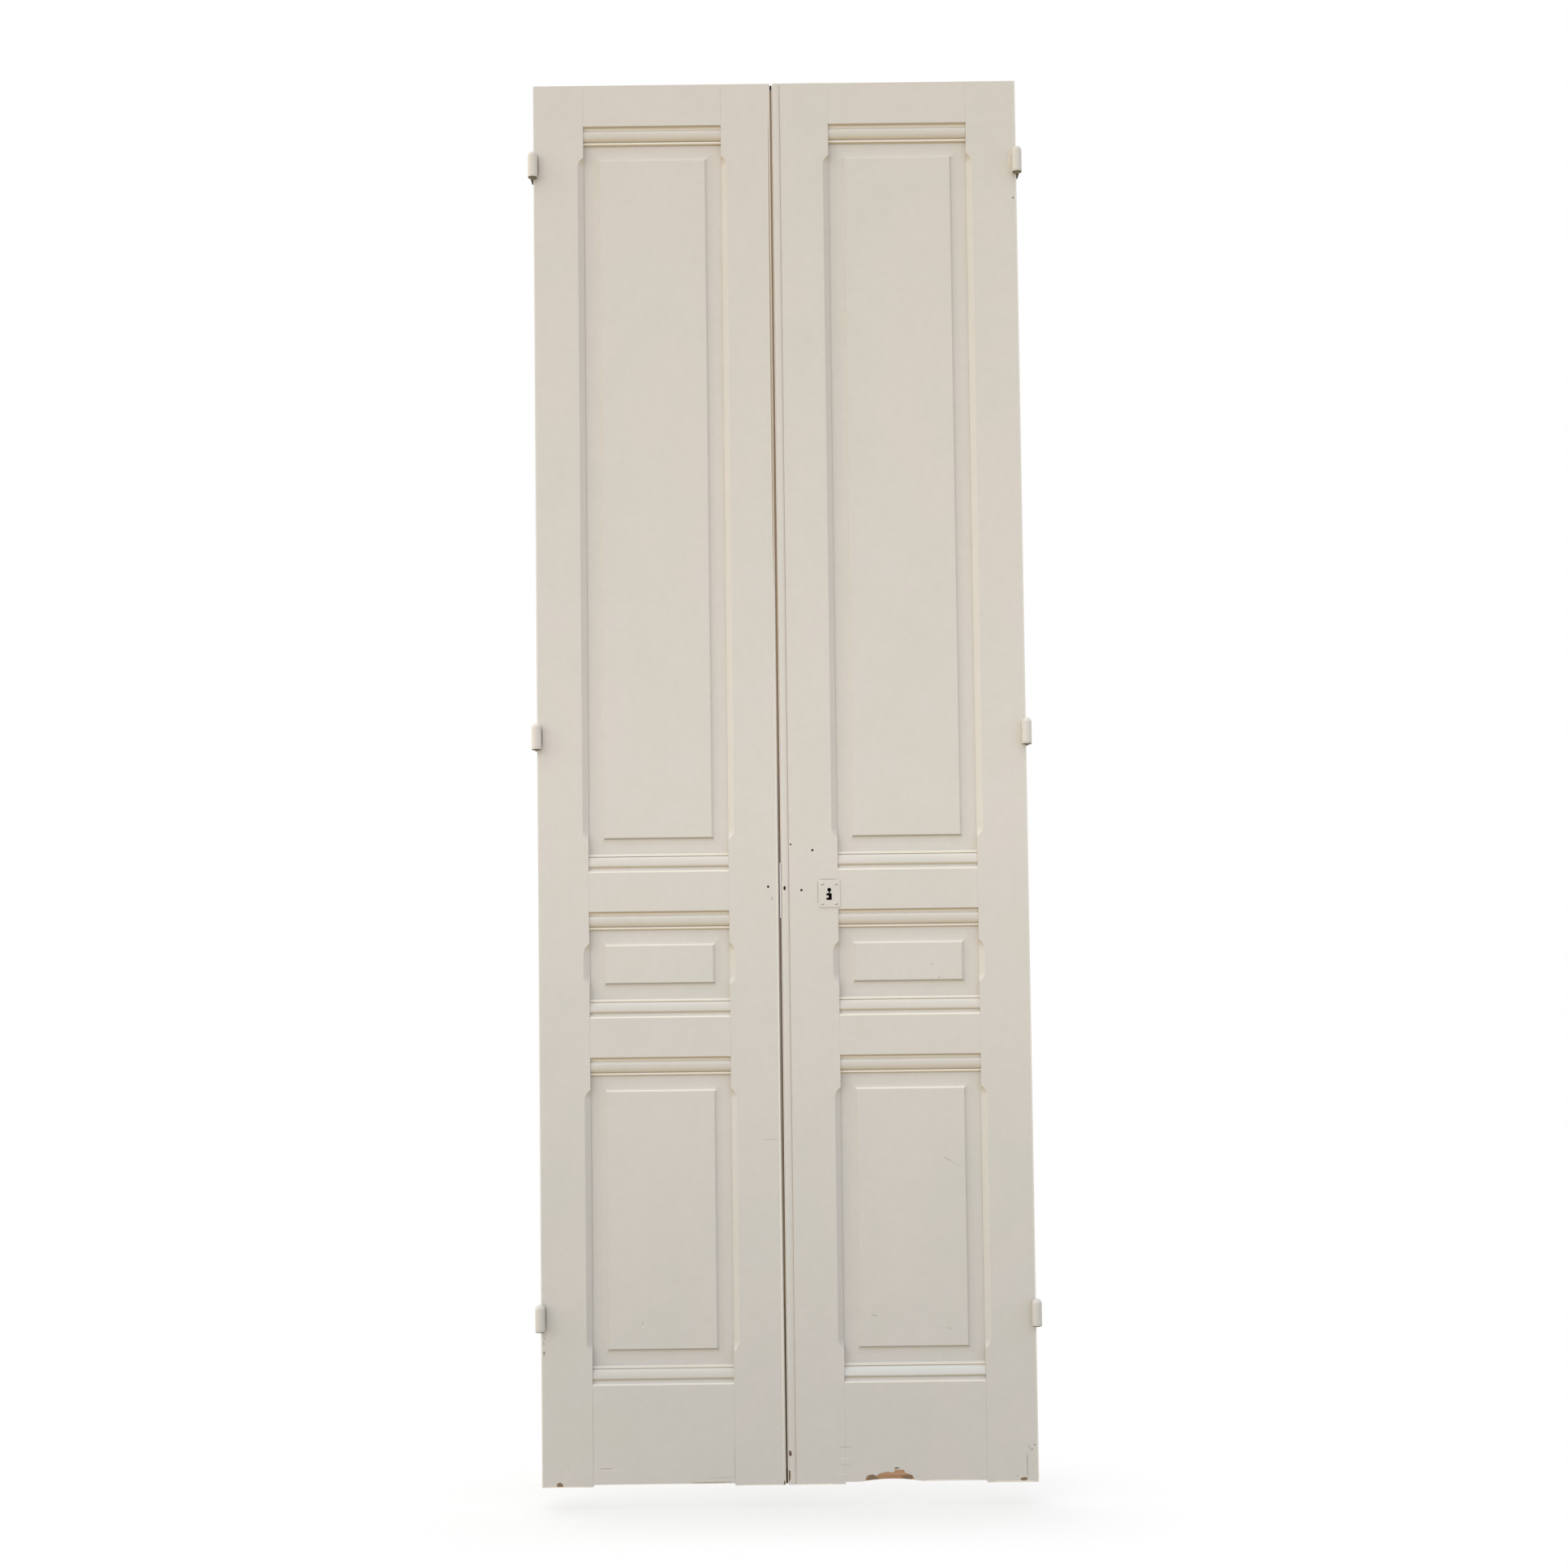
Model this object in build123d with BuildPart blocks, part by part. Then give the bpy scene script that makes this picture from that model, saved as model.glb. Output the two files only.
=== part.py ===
"""A pair of old painted closet doors: two framed leaves of three fielded panels each.

X runs across the pair, the front faces -Y and Z is up. The origin is on the floor line, midway between
the leaves' outer edges and midway in depth. Each leaf is stiles, rails with moulded edges and panels.
The leaves hang on lift-off hinges, meet in a rebate and lock with a rim lock and two bolts at the back.
"""

import os
from math import sqrt

from build123d import *

os.makedirs("parts", exist_ok=True)

# Widths across the pair
hinge_stile_width = 93.0
panel_opening_width = 257.0
left_meeting_stile_width = 90.0
right_meeting_stile_width = 104.0
meeting_gap = 6.0
leaf_thickness = 35.0

# Heights from the floor up: rail faces, moulded rail edges and the panels between them
rail_foot_gap = 4.0
bottom_rail_face = 181.0
lower_panel_height = 523.0
frieze_rail_face = 71.0
middle_panel_height = 125.0
lock_rail_face = 71.0
upper_panel_height = 1322.0
top_rail_face = 77.0

# Moulded edge of a rail, from its face towards the panel, and its depths behind the face
arris_round = 3.0
cavetto_height = 6.0
torus_rise = 5.0
torus_fall = 14.5
foot_quirk = 1.0
fillet_height = 3.0
lip_height = 2.5
quirk_depth = 6.5
crown_depth = 2.0
torus_foot_depth = 8.5
fillet_depth = 7.5
lip_depth = 12.0
cavetto_reach_share = 0.4
cavetto_depth_share = 0.75

# Panels, their grooves and the tenons of the rails
panel_depth = 13.0
panel_thickness = 10.0
field_inset = 29.0
field_side_inset = 31.0
field_raise = 5.5
cove_width = 14.0
cove_shares = ((0, 0), (0.5, 0.1), (0.74, 0.27), (1, 1))
groove_depth = 12.0
panel_play = 1.0
wood_fit = 0.1
tenon_length = 55.0
tenon_shoulder = 14.0

# Stopped chamfers along the stiles
chamfer_width = 10.5
chamfer_block = 24.0
chamfer_stop = 18.0

# Meeting edges: the left leaf's rebate tongue and its front edge's slight hollow, the right leaf's bead, and
# the bevel of both edges
rebate_depth = 10.0
meeting_slit = 0.3
edge_bevel = 2.0
edge_ease = 2.0
edge_hollow = 1.0
bead_width = 14.0
bead_round = 4.5
quirk_width = 1.8
quirk_sink = 3.0

# Lift-off hinges: a domed barrel on the leaf, turning on a pin that stays on the frame
bottom_hinge_rise = 285.5
middle_hinge_drop = 4.25
top_hinge_drop = 172.0
barrel_radius = 9.0
barrel_straight = 36.0
barrel_dome = 8.8
pin_radius = 5.0
pin_clearance = 0.05
pin_end_room = 3.0
axis_outset = 0.2
barrel_face_gap = 0.5
hinge_plate_thickness = 3.0
hinge_plate_reach = 28.0
collar_height = 5.0
collar_round = 2.5
collar_gap = 0.2
frame_plate_gap = 2.0
frame_plate_front = 1.0
frame_hole_radius = 2.25
frame_sink_radius = 4.2
frame_hole_rise_shares = (0.25, 0.75)
frame_hole_depth_share = 0.6

# Countersunk wood screws
screw_shank_radius = 2.0
screw_head_radius = 3.8
screw_head_height = 2.0
screw_fit = 0.1
hinge_screw_length = 25.0
lock_screw_length = 32.0
keep_screw_length = 20.0
barrel_bolt_screw_length = 13.0
sink_angle = 84.0
hinge_screw_rise_shares = (0.2, 0.8)
hinge_screw_depth_share = 0.6

# Rim lock on the back of the right leaf, worked from the key's axis
key_backset = 88.0
key_drop = 0.5
key_pin_radius = 3.6
key_neck_width = 2.7
key_bit_top = 6.3
key_bit_bottom = 18.6
key_bit_left = 5.5
key_bit_right = 4.5
key_stem_left = 0.6
key_prong_height = 4.2
key_clearance = 0.6
lock_case_length = 122.0
lock_case_height = 100.0
lock_case_depth = 16.0
lock_sheet = 1.8
selvedge_thickness = 2.2
selvedge_front = 1.5
notch_margin = 0.5
cap_thickness = 1.5
cap_fit = 0.1
lock_screw_inset = 9.0
bolt_rise = 22.0
bolt_height = 22.0
bolt_thickness = 11.0
bolt_head_length = 24.0
bolt_tail_gap = 6.0
bolt_tail_thickness = 4.0
bolt_tail_shoulder = 2.0
bolt_cap_room = 1.4
bolt_talon_radius = 6.0
bolt_throw = 16.0
guide_gap = 4.0
slide_clearance = 0.3
post_radius = 3.0
post_inset = 15.0
lever_eye_radius = 6.5
lever_length = 40.0
lever_height = 9.0
lever_thickness = 3.0
lever_gap = 1.0
spring_thickness = 1.0
spring_rise = 20.0
spring_foot = 12.0
spring_lean = 14.0

# Keyhole plate on the front of the right leaf
escutcheon_width = 40.0
escutcheon_height = 51.0
escutcheon_thickness = 1.5
escutcheon_corner = 3.0
escutcheon_edge_chamfer = 0.6
escutcheon_drop = 7.0
nail_inset = 7.0
nail_head_radius = 2.6
nail_head_height = 1.2
nail_shank_radius = 1.0
nail_length = 14.0
nail_crown_shares = ((0.6, 0.82), (0.9, 0.42), (1, 0))

# Keep on the back of the left leaf that takes the lock's bolt
keep_setback = 2.0
keep_length = 26.0
keep_wall = 2.5
keep_room = 3.0
keep_flange = 20.0
keep_depth = 18.0

# Two surface bolts on the back of the left leaf
barrel_bolt_inset = 45.0
barrel_bolt_plate_width = 26.0
barrel_bolt_plate_height = 120.0
barrel_bolt_plate_thickness = 2.5
barrel_bolt_end_gap = 22.0
rod_radius = 4.5
rod_length = 152.0
rod_end_setback = 4.0
rod_end_chamfer = 1.1
rod_plate_gap = 1.0
staple_height = 14.0
staple_wall = 2.5
staple_inset = 24.0
knob_radius = 5.0
knob_length = 9.0
knob_round = 2.5
barrel_bolt_screw_inset = 7.0

# Wear: old screw holes, a worn underside and a flake of paint gone from the right bottom rail
old_hole_radius = 1.4
old_hole_depth = 12.0
bead_hole_length = 8.0
bead_hole_width = 4.5
bead_hole_inset = 6.0
bead_hole_rise = 4.0
left_hole_inset = 18.0
left_hole_rise = 7.0
near_hole_inset = 37.0
far_hole_inset = 58.0
far_hole_rise = 73.0
high_hole_inset = 18.0
high_hole_rise = 84.0
worn_start = 132.0
worn_length = 112.0
worn_rise = 4.5
flake_start = 138.0
flake_length = 92.0
flake_height = 21.0
flake_depth = 0.8
flake_shares = ((0, 0), (0.05, 0.5), (0.16, 0.6), (0.24, 0.46), (0.3, 0.68), (0.44, 0.8), (0.58, 0.74),
                (0.6, 1.0), (0.78, 0.96), (0.8, 0.7), (0.86, 0.62), (0.94, 0.5), (1, 0))

# One overrun for every cut that runs out into the open
overrun = 5.0

# Places worked out from the sizes above
torus_crown = arris_round + cavetto_height + torus_rise
torus_foot = torus_crown + torus_fall
fillet_start = torus_foot + foot_quirk
fillet_end = fillet_start + fillet_height
moulding_height = fillet_end + lip_height
lower_panel_base = bottom_rail_face + moulding_height
lower_panel_top = lower_panel_base + lower_panel_height
middle_panel_base = lower_panel_top + frieze_rail_face + 2 * moulding_height
middle_panel_top = middle_panel_base + middle_panel_height
upper_panel_base = middle_panel_top + lock_rail_face + 2 * moulding_height
upper_panel_top = upper_panel_base + upper_panel_height
leaf_height = upper_panel_top + moulding_height + top_rail_face
left_leaf_width = hinge_stile_width + panel_opening_width + left_meeting_stile_width
right_leaf_width = hinge_stile_width + panel_opening_width + right_meeting_stile_width
half_width = (left_leaf_width + meeting_gap + right_leaf_width) / 2
left_edge = left_leaf_width - half_width
right_edge = half_width - right_leaf_width
axis_proud = barrel_radius + barrel_face_gap
rod_axis_depth = leaf_thickness + barrel_bolt_plate_thickness + rod_plate_gap + rod_radius
knob_reach = rod_axis_depth + rod_radius + knob_length
keep_reach = leaf_thickness + keep_depth
lock_reach = leaf_thickness + lock_case_depth
front_reach = axis_proud + barrel_radius
face_y = (front_reach - max(knob_reach, keep_reach, lock_reach)) / 2
groove_front = panel_depth - wood_fit
groove_back = panel_depth + panel_thickness + wood_fit
key_x = right_edge + key_backset
key_height = middle_panel_top + moulding_height + lock_rail_face / 2 - key_drop
lock_front = right_edge + edge_bevel
lock_base = key_height - lock_case_height / 2
lock_top = key_height + lock_case_height / 2
bolt_middle = key_height + bolt_rise
bolt_front_depth = leaf_thickness + cap_thickness + bolt_cap_room
lever_post_x = lock_front + lock_case_length - post_inset
guide_post_x = lever_post_x - lever_length - guide_gap - post_radius

# The rails and panels of either leaf: name, lowest and highest level, and which edges are moulded
RAILS = (
    ("bottom_rail", rail_foot_gap, lower_panel_base, False, True),
    ("frieze_rail", lower_panel_top, middle_panel_base, True, True),
    ("lock_rail", middle_panel_top, upper_panel_base, True, True),
    ("top_rail", upper_panel_top, leaf_height, True, False),
)
PANELS = (
    ("lower_panel", lower_panel_base, lower_panel_top),
    ("middle_panel", middle_panel_base, middle_panel_top),
    ("upper_panel", upper_panel_base, upper_panel_top),
)
HINGES = (
    ("bottom", bottom_hinge_rise),
    ("middle", (bottom_hinge_rise + leaf_height - top_hinge_drop) / 2 - middle_hinge_drop),
    ("top", leaf_height - top_hinge_drop),
)
LEAVES = (("left", -1), ("right", 1))


def y_at(depth):
    """The Y of a point this far behind the leaves' front face."""
    return face_y + depth


def x_in(side, inset):
    """The X of a point this far inside a leaf's outer edge, side -1 being the left leaf."""
    return side * (half_width - inset)


def front_plane(depth):
    """A plane parallel to the front face, looking forward, this far behind it."""
    return Plane.XZ.offset(-y_at(depth))


def out_plane(x, depth, z, out):
    """A plane at a point, looking along the vector out."""
    return Plane(origin=(x, y_at(depth), z), z_dir=out)


def save(piece, label):
    """Names a finished piece and writes its STEP file."""
    piece.label = label
    export_step(piece, f"parts/{label}.step")


def rail_seat(low, high, moulded_low, moulded_high):
    """The levels between which a rail's end fills the stile's groove, clear of the panels' corners."""
    return low + groove_depth * moulded_low, high - groove_depth * moulded_high


def stopped_chamfer(x, into, low, high):
    """Cuts a chamfer along a stile's inner arris, ending in a curved stop at both ends.

    The cutter's outline lies in the plane through the arris that halves its corner."""
    sink = into * chamfer_width / sqrt(2)
    rim = -into * chamfer_width
    with BuildSketch(Plane(origin=(x, y_at(0), 0), x_dir=(0, 0, 1), z_dir=(-into, 1, 0))) as cutter:
        with BuildLine():
            Line((low + chamfer_stop, sink), (high - chamfer_stop, sink))
            TangentArc((low + chamfer_stop, sink), (low, 0), tangent=(-1, 0))
            TangentArc((high - chamfer_stop, sink), (high, 0), tangent=(1, 0))
            Polyline((low, 0), (low, rim), (high, rim), (high, 0))
        make_face()
    extrude(cutter.sketch, amount=chamfer_width, both=True, mode=Mode.SUBTRACT)


def stile_joinery(x, into):
    """Cuts one stile's mortises and stopped chamfers. x is its inner edge, into the way to its wood."""
    sockets = [rail_seat(*rail[1:]) for rail in RAILS]
    middle = x + into * (tenon_length + wood_fit) / 2
    with BuildSketch(front_plane(groove_back)) as mortises:
        for low, high in sockets:
            with Locations((middle, (low + high) / 2)):
                Rectangle(tenon_length + wood_fit, high - low - 2 * tenon_shoulder)
    extrude(mortises.sketch, amount=groove_back - groove_front, mode=Mode.SUBTRACT)
    for _, low, high in PANELS:
        stopped_chamfer(x, into, low + chamfer_block, high - chamfer_block)


def old_hole(x, z):
    """Cuts the hole of a screw that is gone, in the front face."""
    with Locations(out_plane(x, 0, z, (0, -1, 0))):
        Hole(old_hole_radius, depth=old_hole_depth)


def pilot_holes(places, length):
    """Cuts the holes that a group of wood screws fills, along the screws' whole length."""
    for x, depth, z, out in places:
        with Locations(out_plane(x, depth, z, out)):
            Hole(screw_shank_radius + screw_fit, depth=length + screw_fit)


def keyway():
    """Cuts the key's way through the wood, roomier than the plate's keyhole."""
    with BuildSketch(front_plane(leaf_thickness + overrun)) as way:
        key_room()
    extrude(way.sketch, amount=leaf_thickness + 2 * overrun, mode=Mode.SUBTRACT)


def key_room():
    """The outline that lets the key through wood and lock: a round for its pin and a slot for its bit."""
    with Locations((key_x, key_height)):
        Circle(key_pin_radius + key_clearance)
    with Locations((key_x + (key_bit_right - key_bit_left) / 2, key_height)):
        Rectangle(
            key_bit_left + key_bit_right + 2 * key_clearance, key_bit_bottom + key_clearance,
            align=(Align.CENTER, Align.MAX),
        )


def sunk_hole(x, depth, z, out, thickness):
    """Cuts a countersunk screw hole through a plate."""
    with Locations(out_plane(x, depth, z, out)):
        CounterSinkHole(
            screw_shank_radius + screw_fit,
            screw_head_radius + screw_fit,
            depth=thickness + overrun,
            counter_sink_angle=sink_angle,
        )


def screws(places, length):
    """A group of countersunk screws, each place a point's x, depth and z and the way its head faces."""
    with BuildPart() as group:
        for x, depth, z, out in places:
            at = out_plane(x, depth, z, out)
            with BuildSketch(Plane(origin=at.origin, x_dir=at.x_dir, z_dir=-at.y_dir)):
                with BuildLine():
                    Polyline(
                        (0, 0), (screw_head_radius, 0), (screw_shank_radius, -screw_head_height),
                        (screw_shank_radius, screw_shank_radius - length), (0, -length), close=True,
                    )
                make_face()
            revolve(axis=Axis(at.origin, at.z_dir))
    return group.part


def hinge_screw_places(side):
    """Where the screws of a leaf's three hinge plates sit, heads flush in the leaf's outer edge."""
    return [
        (x_in(side, 0), hinge_plate_reach * hinge_screw_depth_share,
         base + barrel_straight * share, (side, 0, 0))
        for _, base in HINGES
        for share in hinge_screw_rise_shares
    ]


lock_screw_places = [
    (x, lock_reach, z, (0, 1, 0))
    for x in (lock_front + lock_screw_inset, lock_front + lock_case_length - lock_screw_inset)
    for z in (lock_base + lock_screw_inset, lock_top - lock_screw_inset)
]
keep_screw_places = [
    (left_edge - keep_setback - keep_length / 2, leaf_thickness + keep_wall, z, (0, 1, 0))
    for z in (
        bolt_middle - bolt_height / 2 - keep_room - keep_wall - keep_flange / 2,
        bolt_middle + bolt_height / 2 + keep_room + keep_wall + keep_flange / 2,
    )
]
barrel_bolt_x = left_edge - barrel_bolt_inset
barrel_bolt_plate_bases = {
    "bottom": barrel_bolt_end_gap,
    "top": leaf_height - barrel_bolt_end_gap - barrel_bolt_plate_height,
}
barrel_bolt_screw_places = [
    (barrel_bolt_x + across * (barrel_bolt_plate_width / 2 - barrel_bolt_screw_inset),
     leaf_thickness + barrel_bolt_plate_thickness, base + rise, (0, 1, 0))
    for base in barrel_bolt_plate_bases.values()
    for across, rise in (
        (-1, barrel_bolt_screw_inset), (1, barrel_bolt_screw_inset),
        (-1, barrel_bolt_plate_height - barrel_bolt_screw_inset),
        (1, barrel_bolt_plate_height - barrel_bolt_screw_inset),
    )
]


def hinge_stile(side):
    """The outer stile: a grooved plank with hinge plates let into its outer edge."""
    inner = x_in(side, hinge_stile_width)
    groove = x_in(side, hinge_stile_width - groove_depth)
    with BuildPart() as stile:
        with BuildSketch():
            with BuildLine():
                Polyline(
                    (x_in(side, 0), y_at(0)), (inner, y_at(0)), (inner, y_at(groove_front)),
                    (groove, y_at(groove_front)), (groove, y_at(groove_back)), (inner, y_at(groove_back)),
                    (inner, y_at(leaf_thickness)), (x_in(side, 0), y_at(leaf_thickness)), close=True,
                )
            make_face()
        extrude(amount=leaf_height)
        stile_joinery(inner, side)
        for _, base in HINGES:
            with BuildSketch(front_plane(hinge_plate_reach + wood_fit)):
                with Locations((x_in(side, hinge_plate_thickness / 2), base + barrel_straight / 2)):
                    Rectangle(hinge_plate_thickness, barrel_straight + 2 * wood_fit)
            extrude(amount=hinge_plate_reach + overrun, mode=Mode.SUBTRACT)
        pilot_holes(hinge_screw_places(side), hinge_screw_length)
    return stile.part


def left_meeting_stile():
    """The left leaf's inner stile, with the rebate's tongue along its edge and a notch for the lock."""
    inner = left_edge - left_meeting_stile_width
    groove = inner + groove_depth
    shoulder = left_edge + edge_ease
    tip = right_edge - meeting_slit
    with BuildPart() as stile:
        with BuildSketch():
            with BuildLine():
                Polyline(
                    (inner, y_at(0)), (shoulder, y_at(0)), (shoulder, y_at(rebate_depth)),
                    (tip, y_at(rebate_depth)), (tip - edge_bevel, y_at(leaf_thickness)),
                    (inner, y_at(leaf_thickness)), (inner, y_at(groove_back)), (groove, y_at(groove_back)),
                    (groove, y_at(groove_front)), (inner, y_at(groove_front)), close=True,
                )
            make_face()
        extrude(amount=leaf_height)
        stile_joinery(inner, 1)
        with BuildSketch(Plane.XY.offset(lock_base - notch_margin)):
            with BuildLine():
                Polyline(
                    (tip - selvedge_thickness, y_at(rebate_depth)),
                    (tip - selvedge_thickness - edge_bevel, y_at(leaf_thickness)),
                    (tip + overrun, y_at(leaf_thickness)), (tip + overrun, y_at(rebate_depth)), close=True,
                )
            make_face()
        extrude(amount=lock_case_height + 2 * notch_margin, mode=Mode.SUBTRACT)
        with BuildSketch(front_plane(rebate_depth)):
            with BuildLine():
                ThreePointArc(
                    (shoulder, 0), (left_edge - edge_hollow, leaf_height / 2), (shoulder, leaf_height)
                )
                Line((shoulder, leaf_height), (shoulder, 0))
            make_face()
        extrude(amount=rebate_depth + overrun, mode=Mode.SUBTRACT)
        old_hole(left_edge - left_hole_inset, key_height + left_hole_rise)
        pilot_holes(keep_screw_places, keep_screw_length)
        pilot_holes(barrel_bolt_screw_places, barrel_bolt_screw_length)
    return stile.part


def right_meeting_stile():
    """The right leaf's inner stile, with a bead on its bevelled edge and the keyhole bored through."""
    inner = right_edge + right_meeting_stile_width
    groove = inner - groove_depth
    bevel_at_round = edge_bevel * bead_round / leaf_thickness
    with BuildPart() as stile:
        with BuildSketch():
            with BuildLine():
                Line((right_edge + bead_round, y_at(0)), (right_edge + bead_width - bead_round, y_at(0)))
                EllipticalCenterArc(
                    (right_edge + bead_width - bead_round, y_at(quirk_sink)), bead_round, quirk_sink,
                    start_angle=270, arc_size=90,
                )
                Polyline(
                    (right_edge + bead_width, y_at(quirk_sink)),
                    (right_edge + bead_width + quirk_width, y_at(0)), (inner, y_at(0)),
                    (inner, y_at(groove_front)), (groove, y_at(groove_front)),
                    (groove, y_at(groove_back)), (inner, y_at(groove_back)), (inner, y_at(leaf_thickness)),
                    (lock_front, y_at(leaf_thickness)), (right_edge + bevel_at_round, y_at(bead_round)),
                )
                EllipticalCenterArc(
                    (right_edge + bead_round, y_at(bead_round)), bead_round - bevel_at_round, bead_round,
                    start_angle=180, arc_size=90,
                )
            make_face()
        extrude(amount=leaf_height)
        stile_joinery(inner, -1)
        keyway()
        old_hole(right_edge + near_hole_inset, key_height)
        old_hole(right_edge + far_hole_inset, key_height + far_hole_rise)
        old_hole(right_edge + high_hole_inset, key_height + high_hole_rise)
        with BuildSketch(front_plane(old_hole_depth)):
            with Locations((right_edge + bead_hole_inset, key_height + bead_hole_rise)):
                Ellipse(bead_hole_width / 2, bead_hole_length / 2)
        extrude(amount=old_hole_depth + overrun, mode=Mode.SUBTRACT)
        pilot_holes(lock_screw_places, lock_screw_length)
        for x, z in nail_places:
            nail_hole(x, z)
    return stile.part


def moulded_edge(edge, way):
    """The outline of one worked rail edge: round, cavetto, torus, fillet, lip, panel groove and back.

    edge is the level of the rail's edge, and way is 1 where the panel is above it, -1 where it is below."""
    face = edge - way * moulding_height

    def at(reach, depth):
        return (y_at(depth), face + way * reach)

    groove = moulding_height - groove_depth
    rise_start, fall_start = (180, 90) if way > 0 else (90, 180)
    CenterArc(at(0, arris_round), arris_round, start_angle=fall_start, arc_size=90)
    ThreePointArc(
        at(arris_round, arris_round),
        at(arris_round + cavetto_height * cavetto_reach_share,
           arris_round + (quirk_depth - arris_round) * cavetto_depth_share),
        at(arris_round + cavetto_height, quirk_depth),
    )
    EllipticalCenterArc(
        at(torus_crown, quirk_depth), quirk_depth - crown_depth, torus_rise,
        start_angle=rise_start, arc_size=90,
    )
    EllipticalCenterArc(
        at(torus_crown, torus_foot_depth), torus_foot_depth - crown_depth, torus_fall,
        start_angle=fall_start, arc_size=90,
    )
    Polyline(
        at(torus_foot, torus_foot_depth), at(fillet_start, torus_foot_depth),
        at(fillet_start, fillet_depth), at(fillet_end, fillet_depth),
        at(moulding_height, lip_depth), at(moulding_height, groove_front), at(groove, groove_front),
        at(groove, groove_back), at(moulding_height, groove_back), at(moulding_height, leaf_thickness),
    )


def rail(side, low, high, moulded_low, moulded_high):
    """A rail with its moulded edges worked in the solid, tenoned into both stiles."""
    left = min(x_in(side, hinge_stile_width), x_in(side, hinge_stile_width + panel_opening_width))
    face_low = low + moulding_height * moulded_low
    face_high = high - moulding_height * moulded_high
    seat_low, seat_high = rail_seat(low, high, moulded_low, moulded_high)
    middle = (left + panel_opening_width / 2, (seat_low + seat_high) / 2)
    with BuildPart() as bar:
        with BuildSketch(Plane.YZ.offset(left)):
            with BuildLine():
                if moulded_low:
                    moulded_edge(low, -1)
                else:
                    Line((y_at(0), low), (y_at(leaf_thickness), low))
                if moulded_high:
                    moulded_edge(high, 1)
                else:
                    Line((y_at(0), high), (y_at(leaf_thickness), high))
                Line((y_at(leaf_thickness), low), (y_at(leaf_thickness), high))
                Line((y_at(0), face_low), (y_at(0), face_high))
            make_face()
        extrude(amount=panel_opening_width)
        with BuildSketch(front_plane(panel_depth + panel_thickness)):
            with Locations(middle):
                Rectangle(panel_opening_width + 2 * groove_depth - 2 * wood_fit, seat_high - seat_low)
                Rectangle(panel_opening_width + 2 * tenon_length, seat_high - seat_low - 2 * tenon_shoulder)
        extrude(amount=panel_thickness)
        if side > 0 and not moulded_low:
            worn_underside(low)
        if side > 0 and low < key_height < high:
            keyway()
            pilot_holes(lock_screw_places, lock_screw_length)
    return bar.part


def worn_underside(low):
    """Cuts the hollow worn into the right bottom rail's underside and the flake gone from its face."""
    start = right_edge + worn_start
    with BuildSketch(front_plane(leaf_thickness + overrun)) as hollow:
        with BuildLine():
            ThreePointArc(
                (start, low), (start + worn_length / 2, low + worn_rise), (start + worn_length, low)
            )
            Line((start + worn_length, low), (start, low))
        make_face()
    extrude(hollow.sketch, amount=leaf_thickness + 2 * overrun, mode=Mode.SUBTRACT)
    with BuildSketch(front_plane(flake_depth)) as flake:
        with BuildLine():
            Polyline(
                [(right_edge + flake_start + flake_length * u, low + flake_height * v)
                 for u, v in flake_shares],
                close=True,
            )
        make_face()
    extrude(flake.sketch, amount=flake_depth + overrun, mode=Mode.SUBTRACT)


def panel(side, low, high):
    """A panel whose field rises from a hollowed margin, its thin edges loose in the grooves around it."""
    reach = groove_depth - panel_play
    middle = (x_in(side, hinge_stile_width + panel_opening_width / 2), (low + high) / 2)
    with BuildPart() as board:
        with BuildSketch(front_plane(panel_depth + panel_thickness)):
            with Locations(middle):
                Rectangle(panel_opening_width + 2 * reach, high - low + 2 * reach)
        extrude(amount=panel_thickness)
        for across, up in cove_shares:
            back = cove_width * (1 - across)
            with BuildSketch(front_plane(panel_depth - field_raise * up)):
                with Locations(middle):
                    Rectangle(
                        panel_opening_width - 2 * (field_side_inset - back),
                        high - low - 2 * (field_inset - back),
                    )
        loft(ruled=True)
    return board.part


def hinge_barrel(side, base):
    """The leaf's half of a hinge: a domed barrel, bored from below, and a plate let into the leaf."""
    axis_x, axis_y = x_in(side, -axis_outset), y_at(-axis_proud)
    bore = pin_radius + pin_clearance
    top = barrel_straight + barrel_dome
    plate_front = barrel_radius - hinge_plate_thickness - axis_proud
    with BuildPart() as half:
        with BuildSketch(front_plane(hinge_plate_reach)):
            with Locations((x_in(side, hinge_plate_thickness / 2), base + barrel_straight / 2)):
                Rectangle(hinge_plate_thickness, barrel_straight)
        extrude(amount=hinge_plate_reach - plate_front)
        with BuildSketch(Plane(origin=(axis_x, axis_y, base), x_dir=(1, 0, 0), z_dir=(0, -1, 0))):
            with BuildLine():
                Polyline(
                    (0, top), (0, barrel_straight), (bore, barrel_straight), (bore, 0), (barrel_radius, 0),
                    (barrel_radius, barrel_straight),
                )
                EllipticalCenterArc(
                    (0, barrel_straight), barrel_radius, barrel_dome, start_angle=0, arc_size=90
                )
            make_face()
        revolve(axis=Axis((axis_x, axis_y, 0), (0, 0, 1)))
        for x, depth, z, out in hinge_screw_places(side):
            if base < z < base + barrel_straight:
                sunk_hole(x, depth, z, out, hinge_plate_thickness)
    return half.part


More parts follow.
